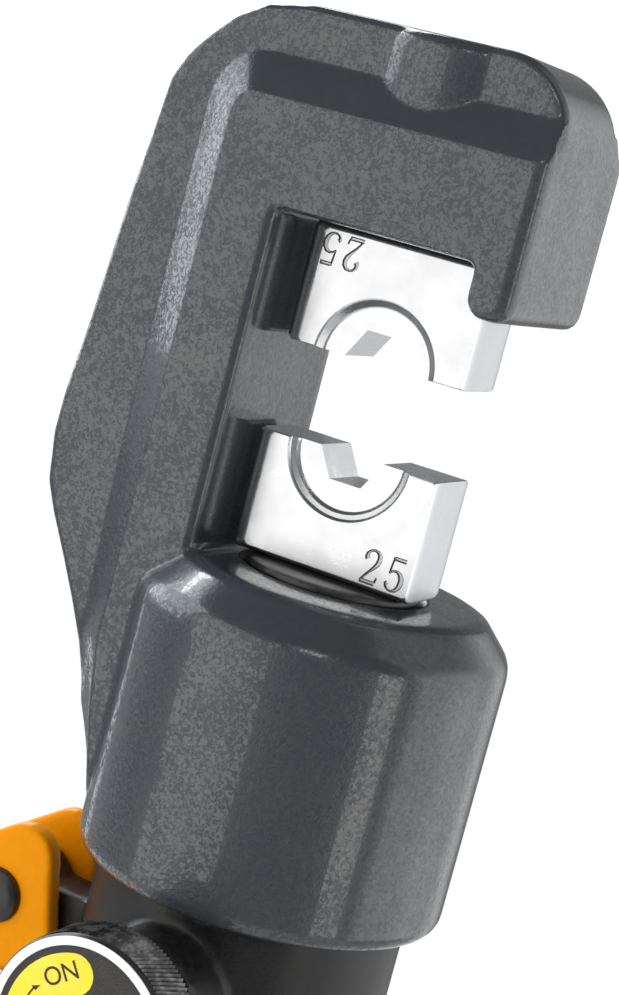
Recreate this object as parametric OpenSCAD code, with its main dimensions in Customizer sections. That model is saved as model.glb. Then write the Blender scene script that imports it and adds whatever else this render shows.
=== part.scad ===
// Hydraulic crimping tool with a C head, two exchangeable dies, a one-handed pump and two handles.
// Units are millimetres. The ram moves along +Z, the C opens towards +X, and the release knob faces -Y.
// The origin is the middle of the fixed grip, on the axis that the grip shares with the ram.

/* [Head] */
// Height of the boss's top face above the middle of the fixed grip
boss_top_z = 176; // [170:1:200]
// Height of the head's top above the boss's top face
head_rise = 84.3; // [82:0.1:92]
// Thickness of the head at the throat
head_thick = 32.6; // [30:0.1:36]
// Thickness of the thinner outer flange
flange_thick = 23.4; // [20:0.1:26]
// Distance from the ram axis to the throat's flat wall
throat_wall_x = 17.2; // [16.5:0.1:18]
// Height of the throat's roof above the boss
throat_h = 53.2; // [53:0.1:56]
// Distance from the ram axis to the hook's inner face
hook_in_x = 15.3; // [15.2:0.1:16.5]
// Distance from the ram axis to the hook's outer face
hook_out_x = 22.5; // [21:0.1:26]
// Height of the hook's lower end above the boss
hook_end_h = 46.3; // [44:0.1:50]
// Distance from the ram axis to the outer edge of the spine's thick core
core_edge_x = 28.5; // [26:0.1:31]
// Height of the upper edge of the thick core
core_top_h = 69.3; // [66:0.1:72]
// Width of the slanted step between core and flange
step_w = 6.2; // [4:0.1:7]
// Distance from the ram axis to the widest point of the spine
bulge_x = 48.2; // [45:0.1:52]
// Height of the widest point of the spine
bulge_h = 9; // [4:0.5:14]
// Distance from the ram axis to the spine's outer edge at the shoulder
shoulder_x = 42.5; // [40:0.1:45]
// Radius of the shoulder over the spine
shoulder_r = 17.5; // [10:0.5:20]
// Radius of the corner over the hook
hook_corner_r = 13; // [6:0.5:14]
// Bevel along the head's outer edges
edge_bevel = 2.4; // [1:0.1:3]
// Radius of the upright boss that holds the upper die's pin
pin_boss_r = 14; // [13:0.1:15]

/* [Boss] */
// Outer radius of the boss around the cylinder
boss_r = 29.8; // [29:0.1:34]
// Height of the boss
boss_h = 49.9; // [46:0.1:52]
// Radius of the flat part of the boss's top face
boss_flat_r = 22.4; // [20:0.1:24]
// Height of the sloping shoulder of the boss
boss_shoulder_h = 7.5; // [4:0.1:9]
// Radius of the boss's lower rim
boss_rim_r = 2.6; // [1:0.1:5]
// Thickness of the boss's top wall
boss_roof = 9.5; // [8:0.1:11]

/* [Dies] */
// Width of a die
die_w = 30; // [28:0.1:30.2]
// Thickness of a die
die_thick = 13.3; // [10:0.1:20]
// Height of the upper die
upper_die_h = 18.8; // [15:0.1:20]
// Size across flats of the hexagon that the closed dies form
nest_af = 9.3; // [5:0.1:12]
// Depth of the round relief at both faces of a nest
nest_relief = 1.4; // [0.5:0.1:2]
// Outer radius of the round relief
relief_out_r = 9.8; // [8:0.1:11]
// Inner radius of the round relief
relief_in_r = 8.4; // [7:0.1:9]
// Bevel along a die's edges
die_bevel = 0.7; // [0.3:0.1:1.2]
// Radius of the pins that locate the dies
die_pin_r = 3; // [2:0.1:3.5]
// Depth of the locating hole in a die's back
die_hole_depth = 5; // [4:0.1:6]

/* [Ram] */
// Travel of the ram from rest until the dies meet
stroke = 13.8; // [12:0.1:15]
// Radius of the ram's rod
ram_r = 13.95; // [13:0.05:14.5]
// Radius of the piston
piston_r = 15.95; // [15.5:0.05:16.5]
// Height of the ram's top face above the boss at rest
ram_rest_h = 1; // [0.6:0.1:1.4]
// Height of the piston
piston_h = 12; // [10:0.1:13]
// Radial clearance of what slides or turns
run_fit = 0.05; // [0.02:0.01:0.09]
// Radial clearance of screwed and pushed-in pieces
seat_fit = 0.05; // [0.02:0.01:0.09]
// Radius of the return bolt's head
bolt_head_r = 8; // [7.8:0.1:8.5]
// Radius of the return bolt's shank
bolt_r = 3; // [2.5:0.1:3.4]
// Wire diameter of the return spring
spring_wire = 1.6; // [1.2:0.1:1.7]

/* [Pump body] */
// Outer radius of the pump body
body_r = 24.9; // [24:0.1:25.5]
// Length of the pump body below the boss
body_h = 62.1; // [60:0.1:70]
// Outer radius of the cylinder inside the boss
neck_r = 21.5; // [20:0.1:23]
// Depth of the cylinder's floor below the boss's top face
cylinder_floor = 46; // [45.5:0.1:46.5]
// Depth of the release valve's axis below the boss's top face
valve_drop = 64; // [63:0.1:64.5]
// Distance of the outlet valve from the ram axis
outlet_x = 9; // [8.6:0.1:9.4]
// Distance of the suction valve from the ram axis
suction_x = 3; // [2.8:0.1:3.4]

/* [Pump plunger] */
// Radius of the pump plunger
plunger_r = 4.5; // [4:0.1:4.8]
// Arm from the handle's pivot to the plunger pin
pump_arm = 17.5; // [17:0.1:18]
// Angle of that arm from upright at rest, half of the handle's swing
arm_tilt = 19; // [17:0.5:20]
// Radius of the plunger pin
plunger_pin_r = 3.5; // [3:0.1:3.7]

/* [Release valve] */
// Radius of the release knob
knob_r = 14.8; // [14:0.1:18]
// Thickness of the release knob
knob_h = 9.6; // [8:0.1:11]
// Distance from the ram axis to the knob's face
knob_face = 48.3; // [47:0.1:50]
// Radius of the release spindle's shank
spindle_r = 4; // [3.5:0.1:4.5]

/* [Moving handle] */
// Distance from the ram axis to the handle's pivot
pivot_x = 39.7; // [39:0.1:41]
// Depth of the pivot below the boss's top face
pivot_drop = 66.3; // [65.5:0.1:67]
// Radius of the pivot pin
pivot_pin_r = 4; // [3.5:0.1:4.4]
// Radius of the pivot pin's head
pivot_head_r = 4.6; // [4.5:0.1:6]
// Radius of the yoke's ears round the pivot
ear_r = 9.9; // [8:0.1:11]
// Radius of the rounded tip of an ear
ear_tip_r = 5.5; // [4:0.1:7]
// Distance from the handle's pivot to the middle of an ear's tip
ear_tip_reach = 8; // [6:0.1:9]
// Thickness of an ear
ear_thick = 3.9; // [3:0.1:4.5]
// Clear width between the ears
ear_gap = 10.2; // [10:0.1:10.8]
// Half thickness of the lug between the ears
lug_half = 4.7; // [4:0.1:4.8]
// Radius of the lug's end
lug_r = 6.7; // [6:0.1:7.2]
// Height of the lug's neck above the handle's pivot
lug_neck = 3.3; // [2:0.1:5]
// Distance from the ram axis to the moving handle's axis
handle_x = 49; // [48:0.1:54]
// Radius of the moving handle's tube
handle_tube_r = 11; // [10.5:0.1:11.5]
// Radius of the moving grip
moving_grip_r = 15; // [13.5:0.1:16]
// Length of the moving grip
moving_grip_h = 110; // [90:1:120]

/* [Fixed handle] */
// Radius of the fixed grip
grip_r = 19; // [18:0.1:20]
// Length of the fixed grip
grip_h = 112; // [100:1:114]
// Outer radius of the reservoir tube
tube_r = 16; // [15.8:0.1:16.4]
// Wall of the reservoir tube
tube_wall = 2; // [1.5:0.1:2.2]
// Height of the end cap's head
cap_h = 9; // [7:0.1:12]

/* [Hidden] */
$fn = 64;
spring_sides = 6;
spring_rings = 8;
eps = 0.01;
reach = 60;
touch = 0.02;
tip_bevel = 0.6;
core_half = head_thick / 2;
flange_half = flange_thick / 2;
bore_r = neck_r + seat_fit;
ram_hole_r = ram_r + run_fit;
cylinder_r = piston_r + run_fit;
bottom_gap = 0.3;
piston_top = -cylinder_floor + bottom_gap + piston_h;
ram_roof = -9;
ram_bore_r = 9;
ram_bevel = 1;
wiper_r = ram_r + 1.25;
wiper_h = 4;
wiper_dish = 0.9;
seal_depth = 2.5;
seal_h = 3.6;
backup_h = 1.5;
groove_z = -cylinder_floor + 4;
neck_top = -boss_roof - 2.5;
spring_seat_h = 5;
spring_seat_play = 0.6;
bolt_head_h = 3;
bolt_top = ram_roof - 2.5;
bolt_thread = 9;
bolt_hex = 2.9;
bolt_hex_depth = 1.8;
spring_r = 6.9;
spring_turns = 5;
nest_r = nest_af / sqrt(3);
die_play = 0.2;
die_pin_play = 0.15;
upper_die_low = throat_h - die_play - upper_die_h;
lower_die_h = upper_die_low - die_play - stroke - ram_rest_h;
pin_hole_r = die_pin_r + run_fit;
pin_collar_r = 5;
pin_collar_h = 2.5;
pin_collar_low = throat_h + 7;
pin_tip = 2.6;
lower_pin_root = 5;
lower_pin_h = 4;
ring_low = 1.5;
ring_h = 1.1;
ring_depth = 0.7;
pin_boss_drop = 1.6;
pin_screw_r = 6;
pin_screw_low = head_rise - 10;
pin_screw_h = 8;
pin_screw_hex = 3.4;
pin_screw_floor = 3;
pin_stem_r = 2.4;
pin_stem_h = 3;
lock_screw_r = 3;
lock_screw_drop = boss_h - 13.7;
lock_screw_sink = 0.6;
lock_screw_hex = 1.7;
lock_hex_depth = 2.4;
body_low = -boss_h - body_h;
post_r = 11;
post_h = 10;
thread_depth = 12;
foot_low = -boss_h + 8;
bulge_flat = 7;
bulge_in = 0.7;
waist_drop = 15.7;
waist_in = 4.8;
pump_drop = pivot_drop + pump_arm * (1 + cos(arm_tilt)) / 2;
pin_rest_x = -pivot_x + pump_arm * sin(arm_tilt);
pin_rest_z = -pivot_drop - pump_arm * cos(arm_tilt);
ball_r = 2.4;
channel_r = 1.6;
valve_r = 3.2;
outlet_seat = -pump_drop + 6;
seat_lift = sqrt(ball_r * ball_r - channel_r * channel_r) + touch;
retainer_h = 5.5;
outlet_retainer_low = -cylinder_floor - retainer_h - bottom_gap;
suction_r = 4;
suction_roof = -pump_drop - plunger_r - 4.5;
suction_seat_top = suction_roof - 7;
relief_seat_y = 7;
relief_r = 4.2;
relief_screw_h = 5;
relief_screw_y = sqrt(pow(body_r, 2) - pow(outlet_x + relief_r, 2)) - relief_screw_h;
relief_hex = 2.3;
relief_pusher_h = 3;
relief_flange_h = 1.6;
relief_pusher_y = relief_seat_y + seat_lift + ball_r + touch;
return_y = 7.5;
relief_return = [5.5, 7.6];
return_r = 1.2;
release_r = 6;
release_seat_y = 6;
release_ball_r = 2;
release_hole_r = 1.5;
release_lift = sqrt(release_ball_r * release_ball_r - release_hole_r * release_hole_r) + touch;
spindle_tip = release_seat_y + release_lift + release_ball_r + 0.05;
spindle_nose_h = 2;
spindle_shoulder = 19.8;
oring_h = 1.9;
oring_play = 0.3;
gland_in = spindle_shoulder + oring_h + oring_play;
gland_r = 8;
valve_boss_r = 11;
valve_boss_y = 33;
gland_hex = 9.5;
gland_hex_h = 3.4;
spindle_end = knob_face - 2.4;
knob_bevel = 0.9;
knob_screw_r = 4.2;
knob_screw_head = 2.2;
knob_hex = 2.3;
knob_thread_r = 2;
knob_thread_h = 9;
label_r = 12.9;
label_h = 0.4;
plunger_gland_r = 8;
plunger_gland_face = body_r - 0.7;
plunger_gland_in = 16;
plunger_seal_h = 1.9;
pump_end = 4;
plunger_tip = pump_end - 2;
eye_x = 6.2;
eye_z = 7;
eye_bevel = 2;
slot_play = 0.12;
slot_rise = pump_arm * (1 - cos(arm_tilt)) / 2 + 0.3;
plunger_ear_r = 8.5;
socket_r = 13.5;
socket_drop = 42;
socket_top = -pivot_drop - socket_drop;
socket_h = 26;
web_r = socket_r - 0.5;
ear_tip_tilt = 21;
// Radius about the pivot at which the straight flanks of the ear's tip start
ear_flank_r = ear_r - 0.4;
web_drop = 12;
web_top = pin_rest_z - web_drop;
handle_tube_wall = 2;
handle_cap_r = handle_tube_r + 0.8;
handle_cap_h = 3.5;
handle_cap_plug = 9;
socket_roof = 6;
handle_tube_top = socket_top - socket_roof;
grip_gap = 2;
handle_tube_h = moving_grip_h + socket_h - socket_roof + grip_gap;
moving_grip_top = socket_top - socket_h - grip_gap;
clip_h = 1;
clip_gap = 0.2;
clip_out = 2;
clip_depth = 0.6;
pin_tail = 2;
pivot_head_h = 1.6;
roll_pin_r = 2;
roll_pin_wall = 0.8;
roll_pin_sink = 0.8;
roll_pin_z = socket_top - socket_h / 2 - 4;
ear_out = ear_gap / 2 + ear_thick;
plunger_pin_half = ear_out + clip_gap + clip_h + pin_tail;
grip_top = grip_h / 2;
guard_r = grip_r + 3.5;
guard_h = 5;
guard_bevel = 1.6;
grip_rim = 2;
tube_in_r = tube_r - tube_wall;
tube_top = boss_top_z + body_low + thread_depth;
tube_low = -grip_h / 2 - 6;
cap_r = grip_r - 1.2;
cap_rim = 2.5;
cap_spigot = 12;
cap_groove = tube_low + 5;
cap_groove_h = 2.2;
cap_groove_depth = 1.6;
cap_low = tube_low - cap_h;
filler_r = 4;
filler_hex = 2.9;
filler_head_r = 6.5;
filler_head_h = 3.5;
filler_h = 9;
washer_h = 1.2;
bladder_r = 12.6;
bladder_wall = 1.5;
bladder_rim = 6;
bladder_top = boss_top_z + body_low - bottom_gap;
bladder_low = tube_low + cap_spigot + 4;
clamp_wall = 1;
clamp_h = 4;
clamp_drop = 2;
filter_r = 5.5;
filter_h = 13;
filter_wall = 0.8;

// Points of an arc from angle a to angle b
function arc(cx, cy, r, a, b, n = 12) =
    [for (i = [0:n]) [cx + r * cos(a + (b - a) * i / n), cy + r * sin(a + (b - a) * i / n)]];

// Rounded lower rim of a turned outline, from its widest point inwards
function rim(r, low, radius, n = 6) = arc(r - radius, low + radius, radius, 0, -90, n);

// Where a bar that touches two circles meets them, on the side given by 1 or -1
function tangent(p, q, rp, rq, side) =
    let (d = q - p, len = norm(d), heading = atan2(d[1], d[0]),
         turn = heading + side * acos((rp - rq) / len))
    [p + rp * [cos(turn), sin(turn)], q + rq * [cos(turn), sin(turn)]];

module at_head() translate([0, 0, boss_top_z]) children();

// Solid along Y with its outline in X and Z, centred on the XZ plane
module slab(half) rotate([90, 0, 0]) translate([0, 0, -half]) linear_extrude(2 * half) children();

// Solid along X from x0 to x1 with its outline in Y and Z
module bar_x(x0, x1) translate([x0, 0, 0]) rotate([90, 0, 90]) linear_extrude(x1 - x0) children();

module rod_z(r, low, high) translate([0, 0, low]) cylinder(r = r, h = high - low);

module rod_x(r, x0, x1) translate([x0, 0, 0]) rotate([0, 90, 0]) cylinder(r = r, h = x1 - x0);

// Rod along Y from y0 to y1
module rod_y(r, y0, y1) translate([0, y0, 0]) rotate([-90, 0, 0]) cylinder(r = r, h = y1 - y0);

// Hexagon recess along Y from y0 to y1
module hex_y(r, y0, y1) translate([0, y0, 0]) rotate([-90, 0, 0]) cylinder(r = r, h = y1 - y0, $fn = 6);

module hex_z(r, low, high) translate([0, 0, low]) cylinder(r = r, h = high - low, $fn = 6);

// Cone along Z that ends a rod
module taper_z(r_low, r_high, low, high) translate([0, 0, low])
    cylinder(r1 = r_low, r2 = r_high, h = high - low);

module ring_z(r_in, r_out, low, high) difference() {
    rod_z(r_out, low, high);
    rod_z(r_in, low - 1, high + 1);
}

// Wire of a coil spring along Z as one unbroken tube
module coil(r, wire, low, high, turns) {
    steps = turns * spring_rings;
    rise = high - low - wire;
    lead = atan2(rise, 2 * PI * r * turns);
    points = [for (i = [0:steps], k = [0:spring_sides - 1])
        let (a = 360 * i / spring_rings, b = 360 * k / spring_sides)
        [(r + wire / 2 * cos(b)) * cos(a) + wire / 2 * sin(b) * sin(lead) * sin(a),
         (r + wire / 2 * cos(b)) * sin(a) - wire / 2 * sin(b) * sin(lead) * cos(a),
         low + wire / 2 + rise * i / steps + wire / 2 * sin(b) * cos(lead)]];
    sides = [for (i = [0:steps - 1], k = [0:spring_sides - 1], half = [0, 1])
        let (n = (k + 1) % spring_sides, here = i * spring_sides, next = here + spring_sides)
        half == 0 ? [here + k, here + n, next + n] : [here + k, next + n, next + k]];
    start = [for (k = [1:spring_sides - 2]) [0, k + 1, k]];
    last = steps * spring_sides;
    end = [for (k = [1:spring_sides - 2]) [last, last + k, last + k + 1]];
    gap = rise / turns * cos(lead) - wire;
    echo(str("least gap between the coils of a spring: ", gap));
    polyhedron(points, concat(sides, start, end));
}

// Block with bevelled edges, centred in X and Y
module bevel_block(w, t, h, b) intersection() {
    slab(t / 2) polygon([[-w / 2 + b, 0], [w / 2 - b, 0], [w / 2, b], [w / 2, h - b],
        [w / 2 - b, h], [-w / 2 + b, h], [-w / 2, h - b], [-w / 2, b]]);
    linear_extrude(h) polygon([[-w / 2 + b, -t / 2], [w / 2 - b, -t / 2], [w / 2, -t / 2 + b],
        [w / 2, t / 2 - b], [w / 2 - b, t / 2], [-w / 2 + b, t / 2], [-w / 2, t / 2 - b],
        [-w / 2, -t / 2 + b]]);
    bar_x(-w / 2, w / 2) polygon([[-t / 2 + b, 0], [t / 2 - b, 0], [t / 2, b], [t / 2, h - b],
        [t / 2 - b, h], [-t / 2 + b, h], [-t / 2, h - b], [-t / 2, b]]);
}

// Flat plate outline that wraps two circles
module strap(p, rp, q, rq) {
    a = tangent(p, q, rp, rq, 1);
    b = tangent(p, q, rp, rq, -1);
    translate(p) circle(rp);
    translate(q) circle(rq);
    polygon([a[0], a[1], b[1], b[0]]);
}

// Outline of the whole head with its foot on the boss, without its throat
module head_outline() polygon(concat(
    [[-boss_flat_r, foot_low], [-boss_r + 0.6, foot_low], [-bulge_x + waist_in, bulge_h - waist_drop]],
    [[-bulge_x + bulge_in, bulge_h - bulge_flat], [-bulge_x, bulge_h],
     [-bulge_x + bulge_in, bulge_h + bulge_flat]],
    arc(shoulder_r - shoulder_x, head_rise - shoulder_r, shoulder_r, 176, 90),
    arc(hook_out_x - hook_corner_r, head_rise - hook_corner_r, hook_corner_r, 90, 0),
    [[hook_out_x, 0]]));

// Plate with bevelled edges round a convex outline
module bevel_plate(half, bevel) hull() {
    slab(half - bevel) children();
    slab(half) offset(delta = -bevel) children();
}

module flange() bevel_plate(flange_half, edge_bevel) head_outline();

// Cross-section of the spine's thick core, seen from above
module spine_section() polygon([[-throat_wall_x, -core_half + 1.2], [-throat_wall_x - 1.2, -core_half],
    [-core_edge_x, -core_half], [-core_edge_x - step_w, -flange_half],
    [-core_edge_x - step_w, flange_half], [-core_edge_x, core_half],
    [-throat_wall_x - 1.2, core_half], [-throat_wall_x, core_half - 1.2]]);

// Cross-section of the top bar's thick core, seen from the end
module bar_section() polygon([[-core_half, hook_end_h], [-core_half, core_top_h],
    [-flange_half, core_top_h + step_w], [flange_half, core_top_h + step_w],
    [core_half, core_top_h], [core_half, hook_end_h]]);

module core() {
    intersection() {
        translate([0, 0, foot_low]) linear_extrude(throat_h - foot_low) spine_section();
        slab(reach) head_outline();
    }
    intersection() {
        bar_x(-core_edge_x - step_w, hook_out_x) bar_section();
        union() {
            translate([0, 0, throat_h - eps]) linear_extrude(head_rise) spine_section();
            translate([-throat_wall_x - eps, 0, hook_end_h]) linear_extrude(head_rise) polygon([
                [0, -core_half], [throat_wall_x + hook_out_x - edge_bevel, -core_half],
                [throat_wall_x + hook_out_x, -core_half + edge_bevel],
                [throat_wall_x + hook_out_x, core_half - edge_bevel],
                [throat_wall_x + hook_out_x - edge_bevel, core_half], [0, core_half]]);
        }
        slab(reach) head_outline();
    }
}

module boss_profile() polygon(concat(
    [[0, -boss_h], [0, 0], [boss_flat_r, 0], [boss_flat_r + 2.2, -0.9],
     [boss_r - 0.9, -boss_shoulder_h + 2.6], [boss_r, -boss_shoulder_h]],
    rim(boss_r, -boss_h, boss_rim_r)));

module throat() slab(reach) polygon([[-throat_wall_x, eps], [-throat_wall_x, throat_h],
    [hook_in_x, throat_h], [hook_in_x, hook_end_h], [reach, hook_end_h], [reach, eps]]);

module c_head() color("#4b5055") at_head() difference() {
    union() {
        difference() {
            union() {
                flange();
                core();
                rod_z(pin_boss_r, throat_h, head_rise - pin_boss_drop);
            }
            throat();
            translate([0, 0, -reach]) slab(reach) square([reach, reach]);
        }
        rotate_extrude() boss_profile();
    }
    rod_z(bore_r, -boss_h - 1, -boss_roof);
    rod_z(ram_hole_r, -boss_roof - 1, 1);
    rod_z(wiper_r + seat_fit, -wiper_h, 1);
    rod_z(pin_hole_r, throat_h - 1, head_rise);
    rod_z(pin_collar_r + run_fit, pin_collar_low - touch, head_rise);
    rod_z(pin_screw_r + seat_fit, pin_screw_low, head_rise + 1);
    translate([0, 0, -lock_screw_drop]) rod_y(lock_screw_r + seat_fit, 0, boss_r + 1);
}

module head_lock_screw() color("dimgray") at_head() translate([0, 0, -lock_screw_drop])
    difference() {
        rod_y(lock_screw_r, neck_r + seat_fit + touch, boss_r - lock_screw_sink);
        hex_y(lock_screw_hex, boss_r - lock_screw_sink - lock_hex_depth, boss_r);
    }

// Half of the closed hexagon and the round relief at both faces, cut at height z
module nest(z) translate([0, 0, z]) {
    slab(reach) polygon([for (i = [0:5]) nest_r * [cos(60 * i), sin(60 * i)]]);
    for (side = [-1, 1])
        translate([0, side * (die_thick / 2 + eps), 0]) rotate([side * 90, 0, 0])
            cylinder(r1 = relief_out_r, r2 = relief_in_r, h = nest_relief);
}

module lower_die() color("gainsboro") at_head() translate([0, 0, ram_rest_h]) difference() {
    bevel_block(die_w, die_thick, lower_die_h, die_bevel);
    nest(lower_die_h);
    rod_z(die_pin_r + die_pin_play, -1, die_hole_depth);
}

module upper_die() color("gainsboro") at_head() translate([0, 0, upper_die_low]) difference() {
    bevel_block(die_w, die_thick, upper_die_h, die_bevel);
    nest(0);
    rod_z(die_pin_r + die_pin_play, upper_die_h - die_hole_depth, upper_die_h + 1);
}

module upper_die_pin() color("silver") at_head() {
    rod_z(die_pin_r, throat_h - pin_tip + tip_bevel, pin_collar_low + eps);
    taper_z(die_pin_r - tip_bevel, die_pin_r, throat_h - pin_tip, throat_h - pin_tip + tip_bevel);
    rod_z(pin_collar_r, pin_collar_low, pin_collar_low + pin_collar_h);
    rod_z(pin_stem_r, pin_collar_low, pin_collar_low + pin_collar_h + pin_stem_h);
}

module upper_pin_spring() color("silver") at_head()
    coil(pin_collar_r - 1.3, 1, pin_collar_low + pin_collar_h, pin_screw_low, 3);

module upper_pin_screw() color("dimgray") at_head() difference() {
    rod_z(pin_screw_r, pin_screw_low, pin_screw_low + pin_screw_h);
    hex_z(pin_screw_hex, pin_screw_low + pin_screw_floor, head_rise);
}

module at_ram() translate([0, 0, boss_top_z + ram_rest_h]) children();

module lower_die_pin() color("silver") at_ram() difference() {
    union() {
        rod_z(die_pin_r, -lower_pin_root, lower_pin_h - tip_bevel);
        taper_z(die_pin_r, die_pin_r - tip_bevel, lower_pin_h - tip_bevel, lower_pin_h);
    }
    ring_z(die_pin_r - ring_depth, die_pin_r + 1, ring_low, ring_low + ring_h);
}

module lower_die_ring() color("black") at_ram()
    ring_z(die_pin_r - ring_depth, die_pin_r + die_pin_play - run_fit, ring_low, ring_low + ring_h);

module ram() color("silver") at_head() difference() {
    union() {
        rod_z(ram_r, piston_top - eps, ram_rest_h - ram_bevel);
        taper_z(ram_r, ram_r - ram_bevel, ram_rest_h - ram_bevel, ram_rest_h);
        rod_z(piston_r, piston_top - piston_h, piston_top);
    }
    rod_z(ram_bore_r, piston_top - piston_h - 1, ram_roof);
    rod_z(die_pin_r + seat_fit, ram_rest_h - lower_pin_root, ram_rest_h + 1);
    ring_z(piston_r - seal_depth, reach, groove_z, groove_z + seal_h + backup_h);
}

module ram_wiper() color("black") at_head() difference() {
    rod_z(wiper_r, -wiper_h, 0);
    rod_z(ram_hole_r, -wiper_h - 1, 1);
    taper_z(ram_r, ram_r + wiper_dish, -1, eps);
}

module piston_seal() color("black") at_head()
    ring_z(piston_r - seal_depth, cylinder_r - touch, groove_z + backup_h, groove_z + backup_h + seal_h);

module piston_backup_ring() color("white") at_head()
    ring_z(piston_r - seal_depth, piston_r, groove_z, groove_z + backup_h);

module spring_seat() color("dimgray") at_head()
    ring_z(bolt_r + spring_seat_play, ram_bore_r - seat_fit, piston_top - piston_h,
        piston_top - piston_h + spring_seat_h);

module return_bolt() color("dimgray") at_head() difference() {
    union() {
        rod_z(bolt_r, -cylinder_floor - bolt_thread, bolt_top);
        rod_z(bolt_head_r, bolt_top - bolt_head_h, bolt_top);
    }
    hex_z(bolt_hex, bolt_top - bolt_hex_depth, bolt_top + 1);
}

module return_spring() color("silver") at_head()
    coil(spring_r, spring_wire, piston_top - piston_h + spring_seat_h, bolt_top - bolt_head_h, spring_turns);

// Drillings inside the pump body
module galleries() {
    translate([outlet_x, 0, 0]) {
        rod_z(channel_r, -pump_drop, outlet_seat + 1);
        rod_z(valve_r, outlet_seat, -cylinder_floor + 1);
    }
    translate([0, 0, -pump_drop]) {
        rod_x(plunger_r + run_fit, -reach, pump_end);
        rod_x(channel_r, pump_end - 1, outlet_x);
        rod_x(plunger_gland_r + seat_fit, -reach, -plunger_gland_in + plunger_seal_h);
    }
    translate([suction_x, 0, 0]) {
        rod_z(channel_r, suction_roof - 1, -pump_drop);
        rod_z(suction_r + seat_fit, body_low - post_h - 1, suction_roof);
    }
    translate([outlet_x, 0, -valve_drop]) {
        rod_y(channel_r, 0, relief_seat_y + 1);
        rod_y(relief_r + seat_fit, relief_seat_y, reach);
    }
    translate([relief_return[0], relief_return[1], 0])
        rod_z(return_r, body_low - post_h - 1, -valve_drop);
    translate([0, -return_y, 0]) rod_z(return_r, body_low - post_h - 1, -valve_drop);
    translate([0, 0, -valve_drop]) {
        rod_y(release_r + run_fit, -reach, -release_seat_y);
        rod_y(release_hole_r, -release_seat_y - 1, -release_seat_y / 2);
        rod_y(gland_r + seat_fit, -reach, -gland_in + oring_play);
        translate([0, -release_seat_y / 2, 0])
            rotate([0, 0, atan2(release_seat_y / 2, outlet_x)]) rod_x(release_hole_r, -0.5, outlet_x);
    }
}

module lug() translate([0, 0, -pivot_drop]) {
    slab(lug_half) polygon([[-pivot_x, -lug_r], [-pivot_x, lug_neck], [-body_r + 3, lug_neck],
        [-body_r + 3, -lug_r]]);
    translate([-pivot_x, 0, 0]) rod_y(lug_r, -lug_half, lug_half);
}

module pump_body() color("#1c1d1f") at_head() difference() {
    union() {
        rotate_extrude() polygon(concat([[0, body_low], [0, neck_top], [neck_r - 1, neck_top],
            [neck_r, neck_top - 1], [neck_r, -boss_h], [body_r, -boss_h]], rim(body_r, body_low, 2)));
        rod_z(post_r, body_low - post_h, body_low + 1);
        lug();
        translate([0, 0, -valve_drop]) rod_y(valve_boss_r, -valve_boss_y, -neck_r + 4);
    }
    rod_z(cylinder_r, -cylinder_floor, 0);
    rod_z(bolt_r + seat_fit, -cylinder_floor - bolt_thread - bottom_gap, 0);
    ring_z(post_r, tube_r + seat_fit, body_low - post_h - 1, body_low + thread_depth);
    galleries();
    translate([-pivot_x, 0, -pivot_drop]) rod_y(pivot_pin_r + run_fit, -reach, reach);
    translate([0, 0, -pump_drop]) rod_x(plunger_gland_r + 2, -reach, -body_r + 1);
}

module outlet_ball() color("silver") at_head()
    translate([outlet_x, 0, outlet_seat + seat_lift]) sphere(ball_r);

module outlet_spring() color("silver") at_head() translate([outlet_x, 0, 0])
    coil(2.2, 0.7, outlet_seat + seat_lift + 1.6, outlet_retainer_low, 7);

module outlet_retainer() color("dimgray") at_head() translate([outlet_x, 0, 0])
    ring_z(1.2, valve_r - seat_fit, outlet_retainer_low, outlet_retainer_low + retainer_h);

module relief_line() at_head() translate([outlet_x, 0, -valve_drop]) children();

module relief_ball() color("silver") relief_line()
    translate([0, relief_seat_y + seat_lift, 0]) sphere(ball_r);

module relief_pusher() color("dimgray") relief_line() {
    rod_y(relief_r - run_fit, relief_pusher_y, relief_pusher_y + relief_flange_h);
    rod_y(1.4, relief_pusher_y, relief_pusher_y + relief_pusher_h);
}

module relief_spring() color("silver") relief_line() rotate([-90, 0, 0])
    coil(2.9, 0.9, relief_pusher_y + relief_flange_h, relief_screw_y, 2);

module relief_screw() color("dimgray") relief_line() difference() {
    rod_y(relief_r, relief_screw_y, relief_screw_y + relief_screw_h);
    hex_y(relief_hex, relief_screw_y + relief_screw_h / 2, reach);
}

module release_line() at_head() translate([0, 0, -valve_drop]) children();

module release_ball() color("silver") release_line()
    translate([0, -release_seat_y - release_lift, 0]) sphere(release_ball_r);

module release_spindle() color("silver") release_line() difference() {
    union() {
        translate([0, -spindle_tip, 0]) rotate([90, 0, 0]) cylinder(r1 = 1.6, r2 = 3, h = spindle_nose_h);
        rod_y(release_r - 1.4, -spindle_tip - 2 * spindle_nose_h, -spindle_tip - spindle_nose_h + eps);
        rod_y(release_r, -spindle_shoulder, -spindle_tip - 2 * spindle_nose_h + eps);
        rod_y(spindle_r, -spindle_end, -spindle_shoulder + eps);
    }
    rod_y(knob_thread_r + seat_fit, -reach, -spindle_end + knob_thread_h + 1);
}

module spindle_oring() color("black") release_line() difference() {
    rod_y(release_r, -spindle_shoulder - oring_h, -spindle_shoulder);
    rod_y(spindle_r + run_fit, -reach, 0);
}

module spindle_gland() color("dimgray") release_line() difference() {
    union() {
        rod_y(gland_r, -valve_boss_y, -gland_in);
        translate([0, -valve_boss_y, 0]) rotate([90, 0, 0]) cylinder(r = gland_hex, h = gland_hex_h, $fn = 6);
    }
    rod_y(spindle_r + run_fit, -reach, 0);
}

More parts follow.
